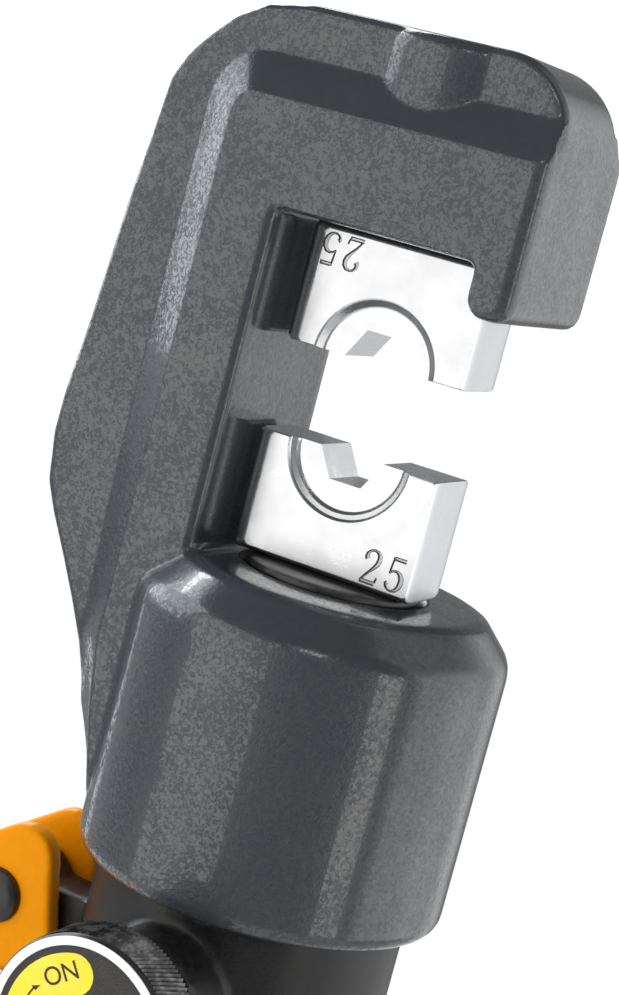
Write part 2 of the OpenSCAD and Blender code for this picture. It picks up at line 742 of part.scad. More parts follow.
module release_knob() color("#222222") release_line() difference() {
    translate([0, -knob_face + knob_h, 0]) rotate([90, 0, 0]) rotate_extrude() polygon([[0, 0],
        [knob_r - knob_bevel, 0], [knob_r, knob_bevel], [knob_r, knob_h - knob_bevel],
        [knob_r - knob_bevel, knob_h], [0, knob_h]]);
    rod_y(spindle_r + seat_fit, -spindle_end, 0);
    rod_y(knob_screw_r + seat_fit, -reach, -spindle_end);
    rod_y(label_r + seat_fit, -reach, -knob_face + label_h);
}

module knob_label() color("gold") release_line() difference() {
    rod_y(label_r, -knob_face, -knob_face + label_h);
    rod_y(knob_screw_r + seat_fit, -reach, 0);
}

module knob_screw() color("#222222") release_line() difference() {
    union() {
        rod_y(knob_screw_r, -spindle_end - knob_screw_head, -spindle_end);
        rod_y(knob_thread_r, -spindle_end - eps, -spindle_end + knob_thread_h);
    }
    hex_y(knob_hex, -reach, -spindle_end - knob_screw_head / 2);
}

module pump_line() at_head() translate([0, 0, -pump_drop]) children();

module pump_plunger() color("silver") pump_line() difference() {
    union() {
        rod_x(plunger_r, pin_rest_x + eye_x - 1, plunger_tip);
        intersection() {
            translate([pin_rest_x, 0, 0]) slab(lug_half - 2 * run_fit) polygon([
                [-eye_x, eye_bevel - eye_z], [eye_bevel - eye_x, -eye_z], [eye_x - eye_bevel, -eye_z],
                [eye_x, eye_bevel - eye_z], [eye_x, eye_z - eye_bevel], [eye_x - eye_bevel, eye_z],
                [eye_bevel - eye_x, eye_z], [-eye_x, eye_z - eye_bevel]]);
            rod_x(eye_z, -reach, reach);
        }
    }
    translate([pin_rest_x, 0, 0]) slab(reach) {
        square([2 * (plunger_pin_r + slot_play), 2 * slot_rise], center = true);
        for (side = [-1, 1]) translate([0, side * slot_rise]) circle(plunger_pin_r + slot_play);
    }
}

module plunger_seal() color("black") pump_line() difference() {
    rod_x(plunger_gland_r, -plunger_gland_in + touch, -plunger_gland_in + plunger_seal_h - touch);
    rod_x(plunger_r + run_fit, -reach, 0);
}

module plunger_gland() color("dimgray") pump_line() difference() {
    rod_x(plunger_gland_r, -plunger_gland_face, -plunger_gland_in);
    rod_x(plunger_r + run_fit, -reach, 0);
}

module suction_seat() color("dimgray") at_head() translate([suction_x, 0, 0])
    ring_z(channel_r, suction_r, body_low - post_h, suction_seat_top);

module suction_ball() color("silver") at_head()
    translate([suction_x, 0, suction_seat_top + seat_lift]) sphere(ball_r);

module suction_spring() color("silver") at_head() translate([suction_x, 0, 0])
    coil(2.3, 0.6, suction_seat_top + seat_lift + 1.5, suction_roof, 2);

module suction_filter() color("goldenrod") at_head() translate([suction_x, 0, body_low - post_h])
    difference() {
        rod_z(filter_r, -filter_h, 0);
        rod_z(filter_r - filter_wall, -filter_h + filter_wall, 1);
    }

module oil_bladder() color("#2b2b2b") difference() {
    rotate_extrude() polygon(concat([[0, bladder_low], [0, bladder_top], [bladder_r, bladder_top]],
        rim(bladder_r, bladder_low, bladder_rim)));
    rod_z(bladder_r - bladder_wall, bladder_low + bladder_rim, bladder_top + 1);
    rod_z(bladder_r - bladder_rim + bladder_wall, bladder_low + bladder_wall, bladder_top);
}

module bladder_clamp() color("silver")
    ring_z(bladder_r + seat_fit, bladder_r + clamp_wall, bladder_top - clamp_h - clamp_drop,
        bladder_top - clamp_drop);

module reservoir_tube() color("#2b2b2b") ring_z(tube_in_r, tube_r, tube_low, tube_top - bottom_gap);

module fixed_grip() color("#1b1b1b") difference() {
    rotate_extrude() polygon(concat([[0, -grip_top], [0, grip_top + guard_h],
        [guard_r - guard_bevel, grip_top + guard_h], [guard_r, grip_top + guard_h - guard_bevel],
        [guard_r, grip_top + guard_bevel], [guard_r - guard_bevel, grip_top],
        [grip_r, grip_top - grip_rim]], rim(grip_r, -grip_top, grip_rim)));
    rod_z(tube_r + seat_fit, -reach - grip_top, reach + grip_top);
}

module end_cap() color("#2b2b2b") difference() {
    union() {
        rotate_extrude() polygon(concat([[0, cap_low], [0, tube_low], [cap_r, tube_low]],
            rim(cap_r, cap_low, cap_rim)));
        rod_z(tube_in_r - seat_fit, tube_low - eps, tube_low + cap_spigot);
    }
    ring_z(tube_in_r - cap_groove_depth, reach, cap_groove, cap_groove + cap_groove_h);
    rod_z(filler_r + seat_fit, tube_low - reach, tube_low + reach);
}

module cap_oring() color("black")
    ring_z(tube_in_r - cap_groove_depth, tube_in_r - touch, cap_groove, cap_groove + cap_groove_h);

module filler_screw() color("silver") translate([0, 0, cap_low]) difference() {
    union() {
        rod_z(filler_r, -washer_h - eps, filler_h);
        rod_z(filler_head_r, -washer_h - filler_head_h, -washer_h);
    }
    hex_z(filler_hex, -reach, -washer_h - filler_head_h / 3);
}

module filler_washer() color("peru")
    ring_z(filler_r + seat_fit, filler_head_r + 0.8, cap_low - washer_h, cap_low);

module handle_yoke() color("darkorange") at_head() difference() {
    pivot = [-pivot_x, -pivot_drop];
    pin = [pin_rest_x, pin_rest_z];
    socket = [-handle_x, socket_top];
    tip = pivot + ear_tip_reach * [sin(ear_tip_tilt), cos(ear_tip_tilt)];
    union() {
        difference() {
            slab(ear_out) {
                strap(pivot, ear_flank_r, tip, ear_tip_r);
                translate(pivot) circle(ear_r);
                strap(pivot, ear_r, pin, plunger_ear_r);
                strap(pivot, ear_r, socket, web_r);
                strap(pin, plunger_ear_r, socket, web_r);
                polygon([pivot, pin, socket]);
            }
            translate([-reach - pivot_x, -ear_gap / 2, web_top])
                cube([2 * reach + pivot_x, ear_gap, reach]);
        }
        translate([-handle_x, 0, 0]) rod_z(socket_r, socket_top - socket_h, socket_top);
    }
    translate([pivot[0], 0, pivot[1]]) rod_y(pivot_pin_r + seat_fit, -reach, reach);
    translate([pin[0], 0, pin[1]]) rod_y(plunger_pin_r + seat_fit, -reach, reach);
    translate([-handle_x, 0, 0])
        rod_z(handle_tube_r + seat_fit, socket_top - socket_h - 1, handle_tube_top + bottom_gap);
    translate([-handle_x, 0, roll_pin_z]) rod_y(roll_pin_r + seat_fit, -reach, reach);
}

module pivot_pin() color("#222222") at_head() translate([-pivot_x, 0, -pivot_drop]) difference() {
    union() {
        rod_y(pivot_pin_r, -ear_out - pivot_head_h / 2, ear_out + clip_gap + clip_h + pin_tail);
        rod_y(pivot_head_r, -ear_out - pivot_head_h, -ear_out);
    }
    clip_groove(pivot_pin_r);
}

// Groove for a retaining ring near the +Y end of a pin of radius r
module clip_groove(r) difference() {
    rod_y(r + 1, ear_out + clip_gap, ear_out + clip_gap + clip_h);
    rod_y(r - clip_depth, ear_out, ear_out + reach);
}

// Retaining ring for a pin of radius r, open on one side
module clip(r) difference() {
    rod_y(r + clip_out, ear_out + clip_gap + touch, ear_out + clip_gap + clip_h - touch);
    rod_y(r - clip_depth + run_fit, 0, reach);
    cube([r * 1.2, reach, r + clip_out + 1]);
}

module pivot_clip() color("silver") at_head() translate([-pivot_x, 0, -pivot_drop])
    clip(pivot_pin_r);

module plunger_pin() color("#222222") at_head() translate([pin_rest_x, 0, pin_rest_z]) difference() {
    rod_y(plunger_pin_r, -plunger_pin_half, plunger_pin_half);
    for (side = [0, 1]) mirror([0, side, 0]) clip_groove(plunger_pin_r);
}

module plunger_pin_clips() color("silver") at_head() translate([pin_rest_x, 0, pin_rest_z])
    for (side = [0, 1]) mirror([0, side, 0]) clip(plunger_pin_r);

module handle_tube() color("#2b2b2b") at_head() translate([-handle_x, 0, 0]) difference() {
    ring_z(handle_tube_r - handle_tube_wall, handle_tube_r, handle_tube_top - handle_tube_h, handle_tube_top);
    translate([0, 0, roll_pin_z]) rod_y(roll_pin_r + seat_fit, -reach, reach);
}

module handle_roll_pin() color("silver") at_head() translate([-handle_x, 0, roll_pin_z]) difference() {
    rod_y(roll_pin_r, roll_pin_sink - socket_r, socket_r - roll_pin_sink);
    rod_y(roll_pin_r - roll_pin_wall, -reach, reach);
}

module moving_grip() color("#1b1b1b") at_head() translate([-handle_x, 0, 0]) difference() {
    rotate_extrude() polygon(concat([[0, moving_grip_top - moving_grip_h], [0, moving_grip_top],
        [moving_grip_r - grip_rim, moving_grip_top], [moving_grip_r, moving_grip_top - grip_rim]],
        rim(moving_grip_r, moving_grip_top - moving_grip_h, grip_rim)));
    rod_z(handle_tube_r + seat_fit, moving_grip_top - moving_grip_h - 1, moving_grip_top + 1);
}

module handle_cap() color("#1b1b1b") at_head() translate([-handle_x, 0, handle_tube_top - handle_tube_h]) {
    rotate_extrude() polygon(concat([[0, -handle_cap_h], [0, 0], [handle_cap_r, 0]],
        rim(handle_cap_r, -handle_cap_h, handle_cap_h / 2)));
    rod_z(handle_tube_r - handle_tube_wall - seat_fit, -eps, handle_cap_plug);
}

c_head();
head_lock_screw();
upper_die();
lower_die();
upper_die_pin();
upper_pin_spring();
upper_pin_screw();
lower_die_pin();
lower_die_ring();
ram();
ram_wiper();
piston_seal();
piston_backup_ring();
spring_seat();
return_bolt();
return_spring();
pump_body();
outlet_ball();
outlet_spring();
outlet_retainer();
relief_ball();
relief_pusher();
relief_spring();
relief_screw();
release_ball();
release_spindle();
spindle_oring();
spindle_gland();
release_knob();
knob_label();
knob_screw();
pump_plunger();
plunger_seal();
plunger_gland();
suction_seat();
suction_ball();
suction_spring();
suction_filter();
oil_bladder();
bladder_clamp();
reservoir_tube();
fixed_grip();
end_cap();
cap_oring();
filler_screw();
filler_washer();
handle_yoke();
pivot_pin();
pivot_clip();
plunger_pin();
plunger_pin_clips();
handle_tube();
handle_roll_pin();
moving_grip();
handle_cap();
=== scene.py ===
"""Hydraulic crimping tool dressed for the shared library.

Lengths in the outlines are millimetres. Heights of the head, the pump body and the handles are
counted from the boss's top face, and HEAD_TOP_FACE lifts them into the frame of the CAD part.
"""

import math

import bpy
from mathutils import Matrix, Vector


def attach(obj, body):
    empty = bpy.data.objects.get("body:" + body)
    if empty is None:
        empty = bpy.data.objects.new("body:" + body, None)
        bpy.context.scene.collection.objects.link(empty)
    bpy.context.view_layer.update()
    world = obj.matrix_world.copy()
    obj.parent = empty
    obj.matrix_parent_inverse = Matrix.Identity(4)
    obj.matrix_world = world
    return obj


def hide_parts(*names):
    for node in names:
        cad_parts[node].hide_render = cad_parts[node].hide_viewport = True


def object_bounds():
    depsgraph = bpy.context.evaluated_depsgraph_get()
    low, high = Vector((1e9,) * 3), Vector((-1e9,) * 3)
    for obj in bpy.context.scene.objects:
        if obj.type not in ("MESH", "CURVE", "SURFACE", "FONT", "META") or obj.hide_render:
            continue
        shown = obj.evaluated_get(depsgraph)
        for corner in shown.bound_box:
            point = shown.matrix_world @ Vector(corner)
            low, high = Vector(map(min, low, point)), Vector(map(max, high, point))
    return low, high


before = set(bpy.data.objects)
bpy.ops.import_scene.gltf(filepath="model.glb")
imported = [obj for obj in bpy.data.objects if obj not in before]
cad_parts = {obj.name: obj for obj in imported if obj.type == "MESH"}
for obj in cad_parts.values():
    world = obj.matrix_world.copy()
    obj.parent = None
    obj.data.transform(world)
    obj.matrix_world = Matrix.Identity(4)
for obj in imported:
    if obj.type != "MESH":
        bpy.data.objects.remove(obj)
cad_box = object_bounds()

MM = 0.001
HEAD_TOP_FACE = 176.0
FULL_TURN = 2 * math.pi
MERGE_GAP = 2e-6

# ---------------------------------------------------------------- the workbench: how pieces are made


def put_down():
    """Leaves edit mode with nothing selected"""
    if bpy.context.mode != "OBJECT":
        bpy.ops.object.mode_set(mode="OBJECT")
    bpy.ops.object.select_all(action="DESELECT")


def pick_up(piece, *others):
    put_down()
    for item in (piece, *others):
        item.select_set(True)
    bpy.context.view_layer.objects.active = piece


def open_up():
    """Enters edit mode with the whole active piece selected"""
    bpy.ops.object.mode_set(mode="EDIT")
    bpy.ops.mesh.select_all(action="SELECT")


def name_piece(name):
    piece = bpy.context.object
    piece.name = name
    piece.data.name = name
    return piece


def point(x, y, height):
    return Vector((x * MM, y * MM, (height + HEAD_TOP_FACE) * MM))


def settle(piece):
    """Puts a piece's place and turn into its mesh"""
    pick_up(piece)
    bpy.ops.object.transform_apply(location=True, rotation=True, scale=True)
    return piece


def close_up(piece):
    """Merges doubles and turns every face outwards"""
    pick_up(piece)
    open_up()
    bpy.ops.mesh.remove_doubles(threshold=MERGE_GAP)
    bpy.ops.mesh.dissolve_degenerate(threshold=MERGE_GAP / 2)
    bpy.ops.mesh.normals_make_consistent(inside=False)
    bpy.ops.object.mode_set(mode="OBJECT")
    return piece


def finish_with(piece, kind, **settings):
    """Adds a modifier and applies it"""
    modifier = piece.modifiers.new(kind.lower(), kind)
    for setting, value in settings.items():
        setattr(modifier, setting, value)
    pick_up(piece)
    bpy.ops.object.modifier_apply(modifier=modifier.name)
    return piece


def stepped_plate(name, levels):
    """Plate along Y whose outline changes from level to level: [(outline, y), ...]"""
    here, front = levels[0]
    put_down()
    bpy.ops.mesh.primitive_circle_add(vertices=len(here), radius=MM, fill_type="NGON")
    piece = name_piece(name)
    for corner, (x, height) in zip(piece.data.vertices, here):
        corner.co = point(x, front, height)
    for there, y in levels[1:]:
        bpy.ops.object.mode_set(mode="EDIT")
        bpy.ops.mesh.extrude_region_move(TRANSFORM_OT_translate={"value": (0, 0, 0)})
        bpy.ops.object.mode_set(mode="OBJECT")
        for corner in piece.data.vertices:
            if corner.select:
                gaps = [abs(corner.co.x - x * MM) + abs(corner.co.z - (height + HEAD_TOP_FACE) * MM)
                        for x, height in here]
                x, height = there[gaps.index(min(gaps))]
                corner.co = point(x, y, height)
        here = there
    return close_up(piece)


def plate(name, outline, front, back):
    """Plate along Y with the same outline all through"""
    return stepped_plate(name, [(outline, front), (outline, back)])


def turned(name, outline, centre=(0.0, 0.0), along="Z", steps=96):
    """Turned piece: a circle's corners go to an outline of (radius, place), which is spun"""
    put_down()
    bpy.ops.mesh.primitive_circle_add(vertices=len(outline), radius=MM, fill_type="NOTHING")
    piece = name_piece(name)
    upright = along == "Z"
    middle = point(*centre, 0) if upright else point(centre[0], 0, centre[1])
    for corner, (radius, place) in zip(piece.data.vertices, outline):
        corner.co = middle + MM * Vector((radius, 0, place) if upright else (radius, place, 0))
    open_up()
    bpy.ops.mesh.spin(steps=steps, angle=FULL_TURN, use_auto_merge=True, center=middle,
                      axis=(0, 0, 1) if upright else (0, 1, 0))
    bpy.ops.object.mode_set(mode="OBJECT")
    return close_up(piece)


def rod(name, radius, start, end, sides=64):
    """Straight rod between two points (x, y, height)"""
    put_down()
    low = point(*start)
    high = point(*end)
    bpy.ops.mesh.primitive_cylinder_add(vertices=sides, radius=radius * MM,
                                        depth=(high - low).length, location=(low + high) / 2)
    piece = name_piece(name)
    piece.rotation_euler = (high - low).to_track_quat("Z", "Y").to_euler()
    return settle(piece)


def block(name, low, high):
    put_down()
    corner = point(*low)
    far = point(*high)
    bpy.ops.mesh.primitive_cube_add(size=1, location=(corner + far) / 2, scale=far - corner)
    return settle(name_piece(name))


def bevel_all(piece, width, segments=3, angle=30):
    """Rounds every edge that is sharper than the angle"""
    return finish_with(piece, "BEVEL", width=width * MM, segments=segments, limit_method="ANGLE",
                       angle_limit=math.radians(angle), miter_outer="MITER_ARC")


def weld_together(name, *parts):
    """Joins solids into one piece"""
    pick_up(parts[0], *parts[1:])
    bpy.ops.object.join()
    return name_piece(name)


def one_skin(piece, grain):
    """One skin over joined solids"""
    return finish_with(piece, "REMESH", mode="VOXEL", voxel_size=grain * MM, adaptivity=0.0)


def soften(piece, passes):
    """Soft edges of a casting or a thick coat of paint"""
    return finish_with(piece, "SMOOTH", factor=0.5, iterations=passes)


def drill(piece, *cutters, solver="EXACT"):
    """Cuts the cutters' shapes out of a piece"""
    for cutter in cutters:
        settings = {"operation": "DIFFERENCE", "solver": solver, "object": cutter}
        if solver == "EXACT":
            settings["material_mode"] = "TRANSFER"
        finish_with(piece, "BOOLEAN", **settings)
        bpy.data.objects.remove(cutter)
    return piece


def shade(piece, angle=30):
    """Smooth shading with crisp edges"""
    pick_up(piece)
    bpy.ops.object.shade_smooth_by_angle(angle=math.radians(angle))
    return finish_with(piece, "WEIGHTED_NORMAL", keep_sharp=True, weight=60)


def arc(x, height, radius, start, end, steps=8):
    """Points of an arc, from one angle to another in degrees"""
    points = []
    for step in range(steps + 1):
        turn = math.radians(start + (end - start) * step / steps)
        points.append((x + radius * math.cos(turn), height + radius * math.sin(turn)))
    return points


def mount_on(piece, body, material, slot, *nodes):
    """Gives a finished piece its finish, its body and the CAD nodes that it stands for"""
    if not any(piece.data.materials):
        piece.data.materials.clear()
        piece.data.materials.append(material)
    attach(piece, body)
    if nodes:
        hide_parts(*nodes)


# ---------------------------------------------------------------- the paint shop: effects and finishes


def fill_in(tree, node, inputs):
    """Links or sets a node's inputs"""
    for socket, value in inputs:
        if isinstance(value, bpy.types.NodeSocket):
            tree.links.new(value, node.inputs[socket])
        else:
            node.inputs[socket].default_value = value
    return node


def add(tree, kind, inputs=(), **settings):
    """Adds a shader node, sets it and fills it in"""
    made = tree.nodes.new("ShaderNode" + kind)
    for setting, value in settings.items():
        setattr(made, setting, value)
    return fill_in(tree, made, inputs)


def work_out(tree, operation, first, second, clamp=False):
    """Value worked out from two others"""
    made = add(tree, "Math", [(0, first), (1, second)], operation=operation, use_clamp=clamp)
    return made.outputs[0]


def ramp(tree, value, start, end, low=0.0, high=1.0, **settings):
    """Value that runs from low to high while another one runs from start to end"""
    made = add(tree, "MapRange", [("Value", value), ("From Min", start), ("From Max", end),
                                  ("To Min", low), ("To Max", high)], **settings)
    return made.outputs[0]


def noise(tree, place, scale, detail, roughness=0.5, distortion=0.0):
    made = add(tree, "TexNoise", [("Vector", place), ("Scale", scale), ("Detail", detail),
                                  ("Roughness", roughness), ("Distortion", distortion)])
    return made.outputs[0]


def facing(tree):
    """The direction that the surface faces, as X, Y and Z"""
    skin = add(tree, "NewGeometry")
    return add(tree, "SeparateXYZ", [(0, skin.outputs["Normal"])]).outputs


def new_effect(name, inputs, *outputs):
    """Starts a node group with a Vector input, named inputs with their defaults, and outputs"""
    effect = bpy.data.node_groups.new(name, "ShaderNodeTree")
    for label, value in {"Vector": (0.0, 0.0, 0.0), **inputs}.items():
        kind = "NodeSocketVector" if isinstance(value, tuple) else "NodeSocketFloat"
        socket = effect.interface.new_socket(label, in_out="INPUT", socket_type=kind)
        socket.default_value = value
    for label in outputs:
        effect.interface.new_socket(label, in_out="OUTPUT", socket_type="NodeSocketFloat")
    entry = effect.nodes.new("NodeGroupInput")
    leave = effect.nodes.new("NodeGroupOutput")
    return effect, entry.outputs, leave.inputs


def use(tree, effect, inputs):
    """Places an effect in a material"""
    made = tree.nodes.new("ShaderNodeGroup")
    made.node_tree = effect
    return fill_in(tree, made, inputs).outputs


def make_orange_peel():
    """Lumps of thick sprayed paint, flatter where it faces +X or up: their height, and a patch mask that
    fades there too and carries painted sheen
    """
    effect, given, out = new_effect("orange_peel", {"Patches per metre": 500.0, "Fine share": 0.12},
                                    "Height", "Patches")
    scale = given["Patches per metre"]
    coarse = noise(effect, given["Vector"], scale, 4.0, 0.65, 0.9)
    drift = noise(effect, given["Vector"], 130.0, 2.0)
    fine = noise(effect, given["Vector"], work_out(effect, "MULTIPLY", scale, 3.4), 2.0, 0.6)
    lumps = work_out(effect, "ADD", coarse, work_out(effect, "MULTIPLY", fine, given["Fine share"]))
    skin = facing(effect)
    # the patches, and with them the painted sheen, fade on faces turned to +X or up
    peel_flow_and_key_side = work_out(effect, "MULTIPLY", ramp(effect, skin["X"], 0.45, 0.85, 1.0, 0.2),
                    ramp(effect, skin["Z"], 0.25, 0.55, 1.0, 0.3))
    level = work_out(effect, "SUBTRACT", lumps, 0.56)
    tide = ramp(effect, drift, 0.3, 0.7, -0.045, 0.045)
    key_side_lumps = work_out(effect, "MULTIPLY", work_out(effect, "ADD", level, tide), peel_flow_and_key_side)
    patches = ramp(effect, key_side_lumps, -0.055, 0.055, interpolation_type="SMOOTHSTEP")
    effect.links.new(work_out(effect, "MULTIPLY", level, peel_flow_and_key_side), out["Height"])
    effect.links.new(patches, out["Patches"])
    return effect


def make_edge_wear():
    """Mask of rubbed outer edges, broken up by noise"""
    effect, given, out = new_effect("edge_wear", {"Sharpness": 0.54, "Amount": 0.5}, "Mask")
    skin = add(effect, "NewGeometry")
    edges = ramp(effect, skin.outputs["Pointiness"], given["Sharpness"],
                 work_out(effect, "ADD", given["Sharpness"], 0.06))
    chips = ramp(effect, noise(effect, given["Vector"], 420.0, 4.0, 0.65), 0.45, 0.62)
    both = work_out(effect, "MULTIPLY", edges, chips)
    effect.links.new(work_out(effect, "MULTIPLY", both, given["Amount"], clamp=True), out["Mask"])
    return effect


def make_dust():
    """Mask of fine dust that settles on faces turned upwards"""
    effect, given, out = new_effect("fine_dust", {"Amount": 0.1}, "Mask")
    upward = ramp(effect, facing(effect)["Z"], 0.2, 0.95)
    grains = ramp(effect, noise(effect, given["Vector"], 900.0, 5.0, 0.75), 0.4, 0.75)
    both = work_out(effect, "MULTIPLY", upward, grains)
    effect.links.new(work_out(effect, "MULTIPLY", both, given["Amount"], clamp=True), out["Mask"])
    return effect


def make_tool_marks():
    """Fine parallel marks of grinding or turning: their height and a mask of duller strips"""
    effect, given, out = new_effect("tool_marks", {"Stretch": (1.0, 1.0, 1.0)}, "Height", "Strips")
    drawn = add(effect, "VectorMath", [(0, given["Vector"]), (1, given["Stretch"])],
                operation="MULTIPLY")
    broad = noise(effect, given["Vector"], 160.0, 3.0, 0.6)
    effect.links.new(noise(effect, drawn.outputs[0], 1.0, 4.0, 0.7), out["Height"])
    effect.links.new(ramp(effect, broad, 0.35, 0.7), out["Strips"])
    return effect


def make_fine_grain():
    """Fine grain of moulded, cast or sprayed skins: height and shade"""
    effect, given, out = new_effect("fine_grain", {"Grains per metre": 2500.0}, "Height", "Shade")
    grains = given["Grains per metre"]
    cells = add(effect, "TexVoronoi", [("Vector", given["Vector"]), ("Scale", grains)],
                feature="SMOOTH_F1")
    cloud = noise(effect, given["Vector"], work_out(effect, "MULTIPLY", grains, 0.08), 4.0, 0.6)
    effect.links.new(cells.outputs["Distance"], out["Height"])
    effect.links.new(cloud, out["Shade"])
    return effect


ORANGE_PEEL = make_orange_peel()
EDGE_WEAR = make_edge_wear()
FINE_DUST = make_dust()
TOOL_MARKS = make_tool_marks()
FINE_GRAIN = make_fine_grain()
DUST_COLOUR = (0.42, 0.41, 0.39)
CLEAR_COAT_ROUGHNESS = 0.06


def start_finish(name):
    """New material: its node tree, its shader and the pieces' own coordinates"""
    finish = bpy.data.materials.new(name)
    finish.use_nodes = True
    tree = finish.node_tree
    place = add(tree, "TexCoord")
    return finish, tree, tree.nodes["Principled BSDF"], place.outputs["Object"]


def blend_colour(tree, mask, first, second):
    made = add(tree, "Mix", data_type="RGBA")
    colours = [socket for socket in made.inputs if socket.type == "RGBA"]
    for socket, value in zip(colours, (first, second)):
        if isinstance(value, bpy.types.NodeSocket):
            tree.links.new(value, socket)
        else:
            socket.default_value = (*value, 1.0)
    tree.links.new(mask, made.inputs[0])
    return [socket for socket in made.outputs if socket.type == "RGBA"][0]


def wear_and_dust(tree, shader, place, base, rub_colour, wear, dust):
    """Rubbed edges and dust over a base colour"""
    wear_mask = use(tree, EDGE_WEAR, [("Vector", place), ("Amount", wear)])
    dust_mask = use(tree, FINE_DUST, [("Vector", place), ("Amount", dust)])
    rubbed = blend_colour(tree, wear_mask["Mask"], base, rub_colour)
    dusty = blend_colour(tree, dust_mask["Mask"], rubbed, DUST_COLOUR)
    tree.links.new(dusty, shader.inputs["Base Color"])


def raise_skin(tree, shader, height, depth):
    """Bump of the given depth in mm"""
    bump = add(tree, "Bump", [("Height", height), ("Distance", depth * MM)])
    tree.links.new(bump.outputs[0], shader.inputs["Normal"])


def roughen(tree, shader, mask, gloss):
    """Roughness that runs between two values with a mask"""
    tree.links.new(ramp(tree, mask, 0.0, 1.0, *gloss), shader.inputs["Roughness"])


def mix_enamel(name, colour, sheen_patch_colour, patches, depth, gloss, rub_colour, dust=0.1, wear=0.4,
               clear=0.0, shine=0.5):
    """Thick sprayed enamel with orange peel, lightly rubbed edges and a little dust; its patch colour is
    painted sheen of the left-front lamps
    """
    finish, tree, shader, place = start_finish(name)
    peel = use(tree, ORANGE_PEEL, [("Vector", place), ("Patches per metre", patches)])
    # painted sheen: the patch colour shows mostly on faces turned away from +X and from above, where the
    # left-front lamps would glint
    paint = blend_colour(tree, peel["Patches"], colour, sheen_patch_colour)
    wear_and_dust(tree, shader, place, paint, rub_colour, wear, dust)
    roughen(tree, shader, peel["Patches"], gloss)
    if clear > 0:
        tree.links.new(ramp(tree, peel["Patches"], 0.0, 1.0, 0.0, clear), shader.inputs["Coat Weight"])
        shader.inputs["Coat Roughness"].default_value = CLEAR_COAT_ROUGHNESS
    shader.inputs["Specular IOR Level"].default_value = shine
    raise_skin(tree, shader, peel["Height"], depth)
    return finish


def mix_metal(name, colour, dull_colour, stretch, depth, gloss, dust=0.05, metallic=1.0, chips=0.5,
              worn_glint_colour=None):
    """Bare or plated metal with fine tool marks"""
    finish, tree, shader, place = start_finish(name)
    marks = use(tree, TOOL_MARKS, [("Vector", place), ("Stretch", stretch)])
    base = blend_colour(tree, marks["Strips"], colour, dull_colour)
    # rubbed-edge colour; worn_glint_colour, where given, is also a painted glint on those edges
    worn = worn_glint_colour or tuple(min(1.0, channel * 1.3 + 0.03) for channel in colour)
    wear_and_dust(tree, shader, place, base, worn, chips, dust)
    shader.inputs["Metallic"].default_value = metallic
    roughen(tree, shader, marks["Strips"], gloss)
    raise_skin(tree, shader, marks["Height"], depth)
    return finish


def mix_polymer(name, colour, worn_colour, grains, depth, gloss, dust=0.15):
    """Moulded rubber or plastic with a fine grain"""
    finish, tree, shader, place = start_finish(name)
    grain = use(tree, FINE_GRAIN, [("Vector", place), ("Grains per metre", grains)])
    base = blend_colour(tree, grain["Shade"], colour, tuple(channel * 1.35 for channel in colour))
    wear_and_dust(tree, shader, place, base, worn_colour, 0.35, dust)
    roughen(tree, shader, grain["Shade"], gloss)
    raise_skin(tree, shader, grain["Height"], depth)
    return finish


# The second colour of each enamel is painted sheen of the left-front lamps, laid on the orange peel's
# patches
HEAD_ENAMEL = mix_enamel("head_enamel", (0.037, 0.046, 0.057), (0.043, 0.047, 0.051), 1500.0, 0.10,
                         (0.10, 0.16), (0.16, 0.17, 0.18), dust=0.03, wear=0.2, clear=1.0, shine=0.46)
YOKE_ORANGE = mix_enamel("yoke_orange", (0.82, 0.285, 0.0), (0.84, 0.30, 0.0), 500.0, 0.02,
                         (0.30, 0.38), (0.90, 0.42, 0.05), dust=0.0, wear=0.15, shine=0.06)
BODY_BLACK = mix_enamel("body_black", (0.006, 0.006, 0.0065), (0.013, 0.012, 0.012), 2600.0, 0.03,
                        (0.33, 0.43), (0.09, 0.09, 0.092), dust=0.06, wear=0.3, shine=0.4)
DIE_STEEL = mix_metal("die_steel", (0.695, 0.715, 0.74), (0.65, 0.67, 0.695), (2600.0, 2600.0, 2600.0),
                      0.018, (0.26, 0.33), dust=0.03)
BRIGHT_STEEL = mix_metal("bright_steel", (0.62, 0.63, 0.64), (0.52, 0.53, 0.54),
                         (300.0, 300.0, 3000.0), 0.004, (0.22, 0.34))
RAM_STEEL = mix_metal("ram_steel", (0.40, 0.40, 0.41), (0.30, 0.30, 0.31), (200.0, 200.0, 3600.0),
                      0.002, (0.16, 0.26))
BLACK_STEEL = mix_metal("black_steel", (0.035, 0.035, 0.038), (0.055, 0.054, 0.052),
                        (600.0, 600.0, 1800.0), 0.006, (0.28, 0.42), metallic=0.6)
SPRING_STEEL = mix_metal("spring_steel", (0.46, 0.46, 0.48), (0.38, 0.38, 0.40),
                         (900.0, 900.0, 900.0), 0.003, (0.24, 0.36))
KNOB_BLACK = mix_metal("knob_black", (0.02, 0.02, 0.02), (0.035, 0.035, 0.035),
                       (900.0, 2200.0, 900.0), 0.005, (0.30, 0.42), metallic=0.4)
